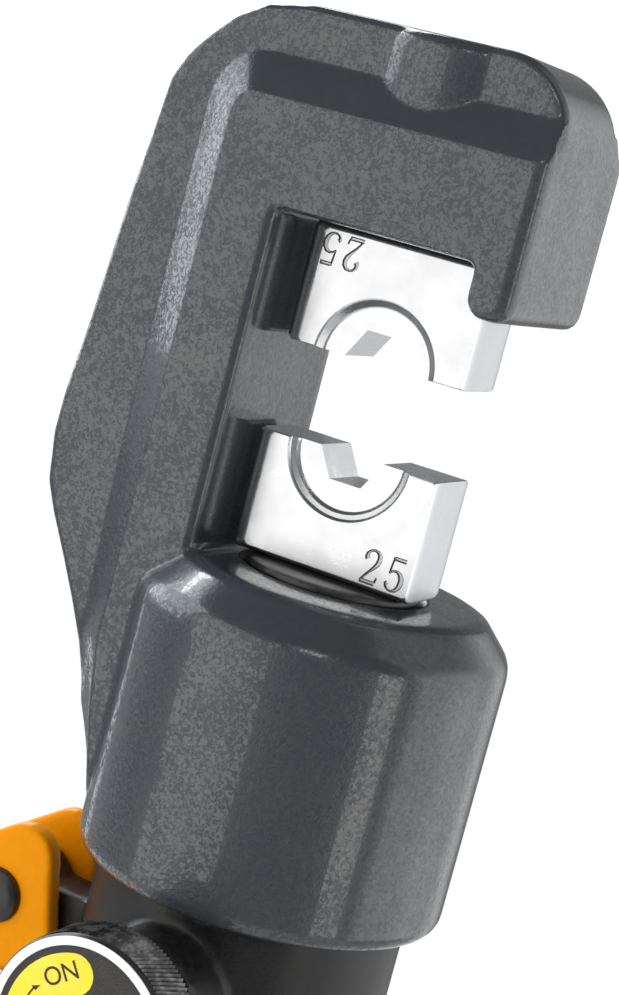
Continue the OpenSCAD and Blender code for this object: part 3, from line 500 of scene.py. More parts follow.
# Knurl chips: worn anodising and a painted glint in light grey along the knurls' edges
KNURL_BLACK = mix_metal("knurl_black", (0.012, 0.012, 0.012), (0.03, 0.03, 0.03),
                        (1500.0, 1500.0, 1500.0), 0.01, (0.26, 0.40), metallic=0.4, chips=0.35,
                        worn_glint_colour=(0.45, 0.45, 0.44))
FILTER_BRASS = mix_metal("filter_brass", (0.60, 0.42, 0.16), (0.48, 0.33, 0.13),
                         (2400.0, 2400.0, 2400.0), 0.01, (0.30, 0.45))
WASHER_COPPER = mix_metal("washer_copper", (0.66, 0.33, 0.19), (0.52, 0.26, 0.15),
                          (900.0, 900.0, 2400.0), 0.005, (0.25, 0.40))
SEAL_RUBBER = mix_polymer("seal_rubber", (0.012, 0.012, 0.012), (0.03, 0.03, 0.03), 5000.0, 0.004,
                          (0.36, 0.50))
# Painted shade: the ram's top face, near-black beside the lower die
RAM_TOP_PAINTED_SHADE = mix_metal("ram_top_painted_shade", (0.03, 0.03, 0.032), (0.07, 0.07, 0.07), (2500.0, 300.0, 300.0), 0.006,
                    (0.25, 0.42), metallic=0.5)
GRIP_RUBBER = mix_polymer("grip_rubber", (0.014, 0.014, 0.015), (0.045, 0.045, 0.045), 2600.0, 0.02,
                          (0.52, 0.68))
CAP_PLASTIC = mix_polymer("cap_plastic", (0.018, 0.018, 0.018), (0.05, 0.05, 0.05), 1800.0, 0.012,
                          (0.38, 0.50))
WHITE_PLASTIC = mix_polymer("white_plastic", (0.60, 0.60, 0.58), (0.78, 0.78, 0.76), 3000.0, 0.004,
                            (0.32, 0.42))
KNOB_RING_WHITE = mix_polymer("knob_ring_white", (0.78, 0.79, 0.80), (0.85, 0.85, 0.85), 3000.0, 0.003,
                              (0.30, 0.40), dust=0.02)
LABEL_YELLOW = mix_polymer("label_yellow", (0.80, 0.62, 0.012), (0.95, 0.85, 0.2), 2500.0, 0.003,
                           (0.28, 0.36), dust=0.02)
LABEL_BLACK = mix_polymer("label_black", (0.012, 0.011, 0.010), (0.03, 0.03, 0.03), 2600.0, 0.06,
                          (0.26, 0.40), dust=0.02)
LABEL_INK = mix_polymer("label_ink", (0.022, 0.014, 0.004), (0.04, 0.03, 0.02), 2500.0, 0.002,
                        (0.34, 0.44), dust=0.0)
# Painted shade of the engraving: near-black walls, and a rougher floor painted darker grey
ENGRAVED_WALL_PAINTED_SHADE = mix_polymer("engraved_wall_painted_shade", (0.05, 0.05, 0.05), (0.08, 0.08, 0.08), 2500.0, 0.004,
                            (0.75, 0.85), dust=0.0)
ENGRAVED_FLOOR_PAINTED_SHADE = mix_metal("engraved_floor_painted_shade", (0.52, 0.53, 0.54), (0.42, 0.43, 0.44),
                           (2600.0, 2600.0, 2600.0), 0.01, (0.32, 0.44))

# ---------------------------------------------------------------- the head

CORE_FRONT = 16.3
FLANGE_FRONT = 11.7
THROAT_WALL = -17.2
THROAT_ROOF = 53.2
HOOK_INSIDE = 15.3
HOOK_OUTSIDE = 22.3
HOOK_END = 45.6
CORE_CROWN = 68.9
STEP_CROWN = 75.5
SPINE_FOOT = -41.5
HOOK_INNER_ROUND = 3.0
HOOK_OUTER_ROUND = 2.6
PIN_BOSS_RADIUS = 14.0
PIN_BOSS_RISE = 83.3
CORNER_MIDDLE = (10.4, 71.7)
CORNER_RADIUS = 11.8
BOSS_MIDDLE = 0.4
BOSS_RADIUS = 29.4
BOSS_DEPTH = 49.4
BOSS_RIM = 2.4
BORE_RADIUS = 21.55
RAM_HOLE_RADIUS = 14.0

FLANGE_EDGE = [*arc(*CORNER_MIDDLE, CORNER_RADIUS, 0, 90, 14), (-22, 83.4), (-29.6, 82.1), (-34.3, 79.5),
               (-38.3, 75.5), (-41.0, 72.2), (-43.0, 68), (-45.2, 47.7), (-47.0, 27), (-48.2, 17),
               (-48.5, 10), (-47.4, 2), (-45.2, -2.6), (-41.5, -9), (-38.2, -15), (-35.2, -21),
               (-33.3, -26), (-32.3, -30), (-29.8, -35), (-27.5, -38.5), (-26.5, SPINE_FOOT)]
CORE_TOP_EDGE = [(6.0, CORE_CROWN), (-10.0, CORE_CROWN), *arc(-25.0, 65.4, 3.5, 90, 180, 6),
                 (-28.5, 40.0), (-28.7, 10.0), (-29.0, -18.0), (-27.2, -30.0), (-24.6, SPINE_FOOT)]
CORE_FOOT_EDGE = [(6.0, STEP_CROWN), (-10.0, STEP_CROWN), *arc(-26.5, 67.0, 8.5, 90, 180, 6),
                  (-35.3, 40.0), (-35.4, 10.0), (-34.6, -18.0), (-31.4, -30.0), (-26.8, SPINE_FOOT)]
THROAT_EASE = 1.8


def throat_outline(ease=0.0):
    """Outline of the throat and the hook, with its edges eased back into the forging"""
    sharp = 0.3 * ease
    return [(THROAT_WALL - ease, SPINE_FOOT), (THROAT_WALL - ease, THROAT_ROOF + sharp),
            (HOOK_INSIDE - 1.2 + sharp, THROAT_ROOF + sharp),
            (HOOK_INSIDE - 0.3 + sharp, THROAT_ROOF - 0.3 + sharp),
            (HOOK_INSIDE + sharp, THROAT_ROOF - 1.2 + sharp),
            *arc(HOOK_INSIDE + HOOK_INNER_ROUND, HOOK_END + HOOK_INNER_ROUND,
                 HOOK_INNER_ROUND - sharp, 180, 270, 5),
            *arc(HOOK_OUTSIDE - HOOK_OUTER_ROUND, HOOK_END + HOOK_OUTER_ROUND,
                 HOOK_OUTER_ROUND - 1.3 * ease, 270, 360, 5)]


def hook_corner(crown, ease):
    """Outer upper corner of the hook at one level, inside the flange's round corner"""
    corner = []
    for height in (crown - 5.2, crown - 2.6, crown):
        rise = max(0.0, height - CORNER_MIDDLE[1])
        reach = 10.5 + math.sqrt(CORNER_RADIUS ** 2 - rise ** 2)
        corner.append((min(reach, HOOK_OUTSIDE - 1.3 * ease), height))
    return corner


def core_plate():
    """Thick core: rolled front edges round the throat, and a slanted step down to the flange"""
    levels = []
    for turn in (0, 22.5, 45, 67.5, 90):
        ease = THROAT_EASE * (1 - math.sin(math.radians(turn)))
        depth = THROAT_EASE * (1 - math.cos(math.radians(turn)))
        share = depth / (CORE_FRONT - FLANGE_FRONT)
        between_edges = [(top_x + (foot_x - top_x) * share, top_z + (foot_z - top_z) * share)
                         for (top_x, top_z), (foot_x, foot_z) in zip(CORE_TOP_EDGE, CORE_FOOT_EDGE)]
        corner = hook_corner(CORE_CROWN + (STEP_CROWN - CORE_CROWN) * share, ease)
        levels.append((throat_outline(ease) + corner + between_edges, depth - CORE_FRONT))
    levels.append((throat_outline() + hook_corner(STEP_CROWN, 0.0) + CORE_FOOT_EDGE, -FLANGE_FRONT))
    return stepped_plate("head_core", levels + [(outline, -y) for outline, y in reversed(levels)])


def make_head():
    """Forged C head: flange, core, boss and pin boss under one skin, then drilled"""
    flange = plate("head_flange", throat_outline() + FLANGE_EDGE, -FLANGE_FRONT, FLANGE_FRONT)
    bevel_all(flange, 2.2, segments=5, angle=60)
    boss = turned("head_boss", [(0, -BOSS_DEPTH), (0, 0), (22.6, 0), (24.6, -0.8), (28.4, -4.9),
                                (29.1, -6.2), (BOSS_RADIUS, -7.9),
                                *arc(BOSS_RADIUS - BOSS_RIM, BOSS_RIM - BOSS_DEPTH, BOSS_RIM, 0, -90, 6)],
                  centre=(BOSS_MIDDLE, 0))
    pin_boss = rod("head_pin_boss", PIN_BOSS_RADIUS, (0, 0, 60), (0, 0, PIN_BOSS_RISE), 96)
    bevel_all(pin_boss, 2.0, segments=4, angle=60)
    head = weld_together("head_casting", flange, core_plate(), boss, pin_boss)
    one_skin(head, 0.6)
    soften(head, 3)
    drill(head,
          rod("cylinder_bore", BORE_RADIUS, (0, 0, -60), (0, 0, -9.5), 96),
          rod("ram_hole", RAM_HOLE_RADIUS, (0, 0, -12), (0, 0, 2), 96),
          rod("wiper_seat", 15.25, (0, 0, -4), (0, 0, 2), 96),
          rod("pin_hole", 3.05, (0, 0, 50), (0, 0, 70), 32),
          rod("pin_collar_hole", 5.05, (0, 0, 60.18), (0, 0, 75), 48),
          rod("pin_screw_hole", 6.05, (0, 0, 74.3), (0, 0, 90), 48),
          rod("lock_screw_hole", 3.05, (0, 15, -36.2), (0, 35, -36.2), 32),
          solver="MANIFOLD")
    mount_on(shade(head, 35), "tool_body", HEAD_ENAMEL, "head_enamel", "c_head")


make_head()

# ---------------------------------------------------------------- the dies

DIE_HALF_WIDTH = 15.0
DIE_FACE = 6.65
BACK_ROUND = 0.5
FRONT_ROUND = 0.35
LEFT_CHAMFER = 0.6
NEST_RADIUS = 9.3 / math.sqrt(3)
RELIEF_FLOOR = 1.25
UPPER_RELIEF_DROP = 0.3
DIGIT_DEPTH = 0.3
DIGIT_WALL = 0.2
DIGIT_START = 6.4
DIGIT_BASE = 1.3


def stroke(points):
    """Outline of one pen stroke given as (x, height, half width) along its middle line"""
    left = []
    right = []
    for index, (x, height, half) in enumerate(points):
        back_x, back_height, _ = points[max(0, index - 1)]
        next_x, next_height, _ = points[min(len(points) - 1, index + 1)]
        heading = Vector((next_x - back_x, next_height - back_height)).normalized()
        left.append((x - heading.y * half, height + heading.x * half))
        right.append((x + heading.y * half, height - heading.x * half))
    return left + right[::-1]


# Digits on a height of 1 and a width of about 0.6, as strokes of (x, height, half width)
TWO_STROKES = [
    [(0.13, 0.70, 0.070), (0.09, 0.76, 0.060), (0.10, 0.85, 0.045), (0.17, 0.94, 0.030),
     (0.28, 0.975, 0.030), (0.40, 0.945, 0.045), (0.475, 0.85, 0.060), (0.485, 0.73, 0.065),
     (0.45, 0.61, 0.060), (0.36, 0.48, 0.045), (0.25, 0.35, 0.032), (0.14, 0.21, 0.028),
     (0.07, 0.10, 0.028)],
    [(0.02, 0.055, 0.050), (0.25, 0.055, 0.052), (0.48, 0.055, 0.052)],
    [(0.45, 0.05, 0.030), (0.495, 0.13, 0.028), (0.52, 0.24, 0.022)]]
FIVE_STROKES = [
    [(0.17, 0.94, 0.050), (0.34, 0.94, 0.050), (0.52, 0.94, 0.052)],
    [(0.155, 0.985, 0.026), (0.13, 0.75, 0.026), (0.105, 0.50, 0.026)],
    [(0.10, 0.51, 0.022), (0.19, 0.585, 0.026), (0.29, 0.605, 0.034), (0.40, 0.56, 0.055),
     (0.475, 0.45, 0.070), (0.49, 0.32, 0.072), (0.455, 0.18, 0.062), (0.37, 0.07, 0.045),
     (0.26, 0.025, 0.030), (0.15, 0.045, 0.028), (0.07, 0.12, 0.034), (0.06, 0.20, 0.048),
     (0.10, 0.235, 0.050)]]


# Tumbled edges of a die, as (y, how far the left side has rolled in), and the other sides' shares of it
ROLLED_EDGE = [(-6.65, 2.9), (-6.53, 2.15), (-6.3, 1.45), (-5.95, 0.9), (-5.5, 0.45), (-5.0, 0.15),
               (-4.2, 0.0)]
ROLL_RIGHT = 0.12
ROLL_BACK = 0.36
ROLL_FRONT = 0.1


def digit_cutters(strokes, x, height, turn, size):
    """Cutters with sloping sides that engrave one digit in a die's front face; the walls carry a near-black
    painted shade, the floor a darker grey painted shade
    """
    cutters = []
    for line in strokes:
        levels = []
        for wall, y in ((0.0, -0.4), (0.0, 0.0), (DIGIT_WALL, DIGIT_DEPTH)):
            narrow = [(px, pz, max(1.25 * half - wall / size, 0.005)) for px, pz, half in line]
            levels.append(([(x + turn * px * size, height + turn * pz * size)
                            for px, pz in stroke(narrow)], y - DIE_FACE))
        cutter = stepped_plate("digit_cutter", levels)
        # painted shade in the groove: walls near-black, floor darker grey
        cutter.data.materials.append(ENGRAVED_WALL_PAINTED_SHADE)
        cutter.data.materials.append(ENGRAVED_FLOOR_PAINTED_SHADE)
        floor_y = (DIGIT_DEPTH - DIE_FACE - 0.01) * MM
        for face in cutter.data.polygons:
            face.material_index = int(face.center.y > floor_y)
        cutters.append(cutter)
    return cutters


def make_die(name, low, high, nest, digit_size, digit_step, left_reach, relief_edge, body, node):
    """Bright die with its half of the hexagon nest, engraved with its size"""
    turn = 1 if nest > (low + high) / 2 else -1
    back_edge = low if turn > 0 else high
    levels = []
    for y, rolled in ROLLED_EDGE + [(-y, rolled) for y, rolled in reversed(ROLLED_EDGE)]:
        left = rolled - left_reach
        right = DIE_HALF_WIDTH - ROLL_RIGHT * rolled
        back = ROLL_BACK * rolled
        front = high - low - ROLL_FRONT * rolled
        outline = [(left + LEFT_CHAMFER, back),
                   *arc(right - BACK_ROUND, back + BACK_ROUND, BACK_ROUND, -90, 0, 2),
                   *arc(right - FRONT_ROUND, front - FRONT_ROUND, FRONT_ROUND, 0, 90, 2),
                   (left + LEFT_CHAMFER, front), (left, front - LEFT_CHAMFER),
                   (left, back + LEFT_CHAMFER)]
        levels.append(([(x, back_edge + turn * rise) for x, rise in outline], y))
    die = stepped_plate(name, levels)
    die.data.materials.append(DIE_STEEL)
    put_down()
    bpy.ops.mesh.primitive_cylinder_add(vertices=6, radius=NEST_RADIUS * MM, depth=30 * MM,
                                        location=point(0, 0, nest))
    hexagon = name_piece("nest_cutter")
    hexagon.rotation_euler = (math.radians(90), math.radians(30), 0)
    settle(hexagon)
    hexagon.data.materials.append(DIE_STEEL)
    cutters = [hexagon]
    relief_middle = nest if turn > 0 else nest - UPPER_RELIEF_DROP
    for side in (-1, 1):
        outline = [(0, side * (DIE_FACE - RELIEF_FLOOR)),
                   *[(radius, side * (DIE_FACE + y)) for radius, y in relief_edge],
                   (relief_edge[-1][0], side * 10), (0, side * 10)]
        relief = turned("relief_cutter", outline, centre=(0, relief_middle), along="Y")
        relief.data.materials.append(DIE_STEEL)
        cutters.append(relief)
    pin_low = low - 1 if turn > 0 else high - 5
    pin_hole = rod("die_pin_hole", 3.15, (0, 0, pin_low), (0, 0, pin_low + 6), 32)
    pin_hole.data.materials.append(DIE_STEEL)
    cutters.append(pin_hole)
    drill(die, *cutters)
    start = DIGIT_START * turn + 0.25
    base = back_edge + DIGIT_BASE * turn
    engraving = digit_cutters(TWO_STROKES, start, base, turn, digit_size)
    engraving += digit_cutters(FIVE_STROKES, start + turn * digit_step, base, turn, digit_size)
    drill(die, *engraving)
    mount_on(shade(die, 30), body, DIE_STEEL, "die_steel", node)


# Edges of the round relief, as (radius, depth): two fine steps below, one slope above
STEPPED_RELIEF = [(8.65, -RELIEF_FLOOR), (8.82, -1.17), (9.15, -0.75), (9.3, -0.66), (9.9, -0.58),
                  (10.02, -0.5), (10.25, -0.15), (10.35, 0.02)]
SLOPED_RELIEF = [(8.65, -RELIEF_FLOOR), (8.9, -1.17), (9.1, -1.02), (9.85, -0.23), (10.05, -0.08),
                 (10.35, 0.02)]
make_die("lower_die_forging", 1.0, 20.2, 20.2, 5.4, 4.1, 16.15, STEPPED_RELIEF, "ram_unit", "lower_die")
make_die("upper_die_forging", 34.2, 53.0, 34.2, 5.15, 3.85, 15.75, SLOPED_RELIEF, "tool_body",
         "upper_die")

# ---------------------------------------------------------------- the ram


def make_ram():
    """Ram with its piston; the top face is painted near-black, a painted shade beside the lower die"""
    outline = [(0, -9), (9, -9), (9, -45.7), (15.95, -45.7), (15.95, -42.0), (13.45, -42.0),
               (13.45, -36.9), (15.95, -36.9), (15.95, -33.7), (13.95, -33.7), (13.95, 0.0),
               (13.65, 0.7), (12.95, 1.0), (0, 1.0)]
    ram = turned("ram_rod", outline, steps=128)
    ram.data.materials.append(RAM_STEEL)
    ram.data.materials.append(RAM_TOP_PAINTED_SHADE)
    rim = point(0, 0, 0.3).z
    # painted shade: faces above the rim, the top face beside the lower die, get the near-black finish
    for face in ram.data.polygons:
        face.material_index = int(face.center.z > rim)
    drill(ram, rod("ram_pin_hole", 3.05, (0, 0, -4), (0, 0, 3), 32))
    mount_on(shade(ram, 30), "ram_unit", RAM_STEEL, "ram_steel", "ram")


make_ram()

# ---------------------------------------------------------------- the pump body

BODY_RADIUS = 24.9
BODY_LOW = -112.0
VALVE_AXIS = -64.0
PIVOT = (-39.7, -66.3)
PUMP_AXIS = -83.32


def make_pump_body():
    """Cast pump body with its lug, its valve boss and the post for the reservoir"""
    shell = turned("pump_shell", [(0, BODY_LOW - 10), (11, BODY_LOW - 10), (11, BODY_LOW),
                                  *arc(BODY_RADIUS - 2, BODY_LOW + 2, 2, -90, 0, 5),
                                  (BODY_RADIUS, -BOSS_DEPTH), (21.5, -BOSS_DEPTH), (21.5, -13), (20.5, -12),
                                  (0, -12)])
    web = plate("lug_web", [(PIVOT[0], PIVOT[1] - 6.7), (-20, PIVOT[1] - 6.7), (-20, PIVOT[1] + 3.3),
                            (PIVOT[0], PIVOT[1] + 3.3)], -4.7, 4.7)
    eye = rod("lug_eye", 6.7, (PIVOT[0], -4.7, PIVOT[1]), (PIVOT[0], 4.7, PIVOT[1]), 64)
    valve_boss = rod("valve_boss", 11, (0, -10, VALVE_AXIS), (0, -33, VALVE_AXIS), 96)
    body = weld_together("pump_casting", shell, web, eye, valve_boss)
    one_skin(body, 0.75)
    soften(body, 4)
    tube_seat = turned("tube_seat", [(11, BODY_LOW - 12), (11, BODY_LOW + 12), (16.05, BODY_LOW + 12),
                                     (16.05, BODY_LOW - 12)])
    drill(body,
          rod("cylinder", 16.0, (0, 0, -46), (0, 0, 0), 96),
          tube_seat,
          rod("gland_seat", 8.05, (0, -21.7, VALVE_AXIS), (0, -40, VALVE_AXIS), 48),
          rod("spindle_bore", 6.05, (0, -6, VALVE_AXIS), (0, -23, VALVE_AXIS), 48),
          rod("plunger_gland_seat", 8.05, (-14.1, 0, PUMP_AXIS), (-40, 0, PUMP_AXIS), 48),
          rod("plunger_spot_face", 10, (1 - BODY_RADIUS, 0, PUMP_AXIS), (-40, 0, PUMP_AXIS), 48),
          rod("plunger_bore", 4.55, (4, 0, PUMP_AXIS), (-15, 0, PUMP_AXIS), 32),
          rod("relief_bore", 4.25, (9, 7, VALVE_AXIS), (9, 40, VALVE_AXIS), 32),
          rod("pivot_hole", 4.05, (PIVOT[0], -20, PIVOT[1]), (PIVOT[0], 20, PIVOT[1]), 48),
          solver="MANIFOLD")
    mount_on(shade(body, 35), "tool_body", BODY_BLACK, "body_black", "pump_body")


make_pump_body()

# ---------------------------------------------------------------- the release knob

KNOB_FACE = -48.3
KNOB_BACK = -38.7
KNOB_RADIUS = 14.3
KNURL_RADIUS = 0.42
KNURL_COUNT = 128
KNURL_SLANT = math.radians(-16)


def turned_on_knob(name, outline, angle, material, slot, *nodes):
    """Turned piece around the knob's axis, finished and mounted"""
    piece = turned(name, outline, centre=(0, VALVE_AXIS), along="Y", steps=120)
    mount_on(shade(piece, angle), "release_unit", material, slot, *nodes)


def make_knob():
    """Release knob with its white ring and its slanted knurls, whose edges carry worn anodising and a
    painted glint
    """
    turned_on_knob("knob_turning",
                   [(4.05, KNOB_BACK), (13.2, KNOB_BACK), (14.0, KNOB_BACK - 0.9),
                    (KNOB_RADIUS, KNOB_FACE + 1.5), (14.58, KNOB_FACE + 1.2), (14.62, KNOB_FACE + 0.5),
                    (14.4, KNOB_FACE + 0.12), (12.9, KNOB_FACE + 0.12), (12.9, KNOB_FACE + 0.4),
                    (4.3, KNOB_FACE + 0.4), (4.3, KNOB_FACE + 2.4), (4.05, KNOB_FACE + 2.4)],
                   30, KNOB_BLACK, "knob_black", "release_knob")
    turned_on_knob("knob_white_ring",
                   [(13.0, KNOB_FACE + 0.3), (13.05, KNOB_FACE), (KNOB_RADIUS, KNOB_FACE),
                    (14.4, KNOB_FACE + 0.3)],
                   50, KNOB_RING_WHITE, "knob_black")
    put_down()
    front = KNOB_FACE + 1.2
    back = KNOB_BACK - 0.7
    bpy.ops.mesh.primitive_cylinder_add(vertices=4, radius=KNURL_RADIUS * MM, depth=(back - front) * MM,
                                        location=point(KNOB_RADIUS, (front + back) / 2, VALVE_AXIS),
                                        rotation=(math.radians(90), 0, 0))
    knurl = settle(name_piece("knob_knurl"))
    for cut in range(1, 4):
        open_up()
        bpy.ops.mesh.bisect(plane_co=point(0, front + (back - front) * cut / 4, 0), plane_no=(0, 1, 0))
        bpy.ops.object.mode_set(mode="OBJECT")
    middle = point(0, 0, VALVE_AXIS)
    for corner in knurl.data.vertices:
        twist = math.tan(KNURL_SLANT) * (corner.co.y / MM - front) / KNOB_RADIUS
        corner.co = middle + Matrix.Rotation(-twist, 3, "Y") @ (corner.co - middle)
    pick_up(knurl)
    open_up()
    bpy.ops.mesh.spin(steps=KNURL_COUNT, dupli=True, angle=FULL_TURN, use_auto_merge=False,
                      center=middle, axis=(0, 1, 0))
    bpy.ops.object.mode_set(mode="OBJECT")
    close_up(knurl)
    mount_on(knurl, "release_unit", KNURL_BLACK, "knob_black")


def thick_arc(radius, half, start, end):
    """Outline of a band along an arc with round ends, around the knob's axis"""
    outline = arc(0, VALVE_AXIS, radius + half, start, end, 20)
    turn = math.radians(end)
    outline += arc(radius * math.cos(turn), VALVE_AXIS + radius * math.sin(turn), half, end, end + 180, 10)
    outline += arc(0, VALVE_AXIS, radius - half, end, start, 20)
    turn = math.radians(start)
    outline += arc(radius * math.cos(turn), VALVE_AXIS + radius * math.sin(turn), half, start + 180,
                   start + 360, 10)
    return outline


def lettering(name, words, size, radius, bearing, tilt):
    """Printed word on the knob's label at the given bearing"""
    put_down()
    turn = math.radians(bearing)
    bpy.ops.object.text_add(location=point(radius * math.cos(turn), LABEL_INK_FACE,
                                           VALVE_AXIS + radius * math.sin(turn)))
    word = bpy.context.object
    word.data.body = words
    word.data.size = size * MM
    word.data.align_x = "CENTER"
    word.data.align_y = "CENTER"
    word.data.extrude = 0.015 * MM
    word.data.offset = 0.003 * size * MM
    word.rotation_euler = (math.radians(90), -math.radians(tilt), 0)
    word.name = name
    pick_up(word)
    bpy.ops.object.convert(target="MESH")
    word = name_piece(name)
    settle(word)
    return close_up(word)


FIELD_RADIUS = 8.95
LABEL_FACE = KNOB_FACE + 0.12
LABEL_YELLOW_FACE = KNOB_FACE + 0.07
LABEL_INK_FACE = KNOB_FACE + 0.045


def make_label():
    """Printed label: black disc, two yellow fields, ON and OFF with arrows"""
    turned_on_knob("label_disc",
                   [(4.3, LABEL_FACE + 0.28), (4.3, LABEL_FACE), (12.88, LABEL_FACE),
                    (12.88, LABEL_FACE + 0.28)],
                   50, LABEL_BLACK, "label_yellow", "knob_label")
    for name, start, word in (("on", 105, "ON"), ("off", 285, "OFF")):
        field = plate("label_field_" + name, thick_arc(FIELD_RADIUS, 3.0, start, start + 110),
                      LABEL_YELLOW_FACE, LABEL_FACE + 0.02)
        mount_on(field, "release_unit", LABEL_YELLOW, "label_yellow")
        shaft = plate("arrow_shaft", thick_arc(9.15, 0.14, start + 47, start + 95), LABEL_INK_FACE,
                      LABEL_YELLOW_FACE + 0.01)
        tip_turn = math.radians(start + 39.5)
        base_turn = math.radians(start + 47.5)
        head = plate("arrow_head",
                     [(8.75 * math.cos(tip_turn), VALVE_AXIS + 8.75 * math.sin(tip_turn)),
                      (9.6 * math.cos(base_turn), VALVE_AXIS + 9.6 * math.sin(base_turn)),
                      (8.7 * math.cos(base_turn), VALVE_AXIS + 8.7 * math.sin(base_turn))],
                     LABEL_INK_FACE, LABEL_YELLOW_FACE + 0.01)
        letters = lettering("letters_" + name, word, 3.75 if name == "on" else 3.2, FIELD_RADIUS,
                            start + 14, start - 70)
        ink = weld_together("label_ink_" + name, shaft, head, letters)
        mount_on(ink, "release_unit", LABEL_INK, "label_yellow")


make_knob()
make_label()

# ---------------------------------------------------------------- the moving handle

PIN = (PIVOT[0] + 17.5 * math.sin(math.radians(19)), PIVOT[1] - 17.5 * math.cos(math.radians(19)))
EAR_TIP = (PIVOT[0] + 8.0 * math.sin(math.radians(21)), PIVOT[1] + 8.0 * math.cos(math.radians(21)))
SOCKET_X = -49.0
SOCKET_TOP = PIVOT[1] - 42
EAR_OUT = 9.0
EAR_IN = 5.1


def strap_outline(first, first_radius, second, second_radius):
    """Outline of a flat bar that wraps two circles"""
    gap = Vector((second[0] - first[0], second[1] - first[1]))
    heading = math.degrees(math.atan2(gap.y, gap.x))
    spread = math.degrees(math.acos((first_radius - second_radius) / gap.length))
    return (arc(*first, first_radius, heading + spread, heading - spread + 360, 16)
            + arc(*second, second_radius, heading - spread, heading + spread, 16))


def make_yoke():
    """Yoke with two ears, a web and the socket for the handle's tube"""
    socket = (SOCKET_X, SOCKET_TOP)
    bars = [strap_outline(PIVOT, 9.9, EAR_TIP, 5.5), strap_outline(PIVOT, 9.9, PIN, 8.5),
            strap_outline(PIVOT, 9.9, socket, 13.0), strap_outline(PIN, 8.5, socket, 13.0),
            [PIVOT, PIN, socket]]
    solids = [plate("yoke_bar", outline, -EAR_OUT, EAR_OUT) for outline in bars]
    solids.append(rod("yoke_socket", 13.5, (SOCKET_X, 0, SOCKET_TOP - 26), (SOCKET_X, 0, SOCKET_TOP), 96))
    yoke = weld_together("yoke_painted", *solids)
    one_skin(yoke, 0.55)
    drill(yoke, block("yoke_gap", (-100, -EAR_IN, PIN[1] - 12), (0, EAR_IN, 0)), solver="MANIFOLD")
    one_skin(yoke, 0.55)
    soften(yoke, 9)
    drill(yoke,
          rod("pivot_bore", 4.05, (PIVOT[0], -20, PIVOT[1]), (PIVOT[0], 20, PIVOT[1]), 48),
          rod("pin_bore", 3.55, (PIN[0], -20, PIN[1]), (PIN[0], 20, PIN[1]), 48),
          rod("tube_bore", 11.05, (SOCKET_X, 0, SOCKET_TOP - 30), (SOCKET_X, 0, SOCKET_TOP - 5.7), 64),
          rod("roll_pin_bore", 2.05, (SOCKET_X, -20, SOCKET_TOP - 17), (SOCKET_X, 20, SOCKET_TOP - 17), 32),
          solver="MANIFOLD")
    mount_on(shade(yoke, 35), "moving_handle", YOKE_ORANGE, "yoke_orange", "handle_yoke")


def make_pivot_pin():
    pin = turned("pivot_pin_turning",
                 [(0, -10.6), (2.7, -10.6), (3.6, -10.45), (4.3, -10.05), (4.6, -9.5), (4.6, -9.0),
                  (4.0, -9.0), (4.0, 9.2), (3.4, 9.2), (3.4, 10.2), (4.0, 10.2), (4.0, 11.7), (3.5, 12.2),
                  (0, 12.2)],
                 centre=PIVOT, along="Y", steps=64)
    mount_on(shade(pin, 30), "moving_handle", BLACK_STEEL, "black_steel", "pivot_pin")


make_yoke()
make_pivot_pin()

# ---------------------------------------------------------------- the rubber grips


RIB_PITCH = 5.0
RIB_GROOVE = [(0, 0), (0.55, 0.3), (0.95, 0.9), (0.95, 1.5), (0.55, 2.1), (0, 2.4)]


def ribbed_sleeve(name, axis_x, inner, outer, low, high, flange, body, node):
    """Rubber sleeve with rounded ribs between plain ends"""
    outline = [(inner, low), (outer - 2, low), (outer - 0.6, low + 0.6), (outer, low + 2)]
    first_rib = low + 9
    for rib in range(int((high - 10 - first_rib) / RIB_PITCH)):
        start = first_rib + rib * RIB_PITCH
        outline += [(outer - depth, start + rise) for depth, rise in RIB_GROOVE]
    outline += flange
    outline += [(inner, high)]
    sleeve = turned(name, outline, centre=(axis_x, 0), steps=96)
    mount_on(shade(sleeve, 40), body, GRIP_RUBBER, "grip_rubber", node)


GRIP_MIDDLE = -HEAD_TOP_FACE
ribbed_sleeve("fixed_grip_sleeve", 0, 16.05, 19.0, GRIP_MIDDLE - 56, GRIP_MIDDLE + 61,
              [(19.0, GRIP_MIDDLE + 54), (19.8, GRIP_MIDDLE + 55.4), (20.9, GRIP_MIDDLE + 56),
               (21.9, GRIP_MIDDLE + 56.4), (22.5, GRIP_MIDDLE + 57.6), (22.5, GRIP_MIDDLE + 59.4),
               (21.9, GRIP_MIDDLE + 60.6), (20.9, GRIP_MIDDLE + 61)],
              "tool_body", "fixed_grip")
MOVING_GRIP_TOP = SOCKET_TOP - 28
ribbed_sleeve("moving_grip_sleeve", SOCKET_X, 11.05, 15.0, MOVING_GRIP_TOP - 110, MOVING_GRIP_TOP,
              [(15.0, MOVING_GRIP_TOP - 2), (14.4, MOVING_GRIP_TOP - 0.6), (13, MOVING_GRIP_TOP)],
              "moving_handle", "moving_grip")

# ---------------------------------------------------------------- nodes that keep their CAD solids

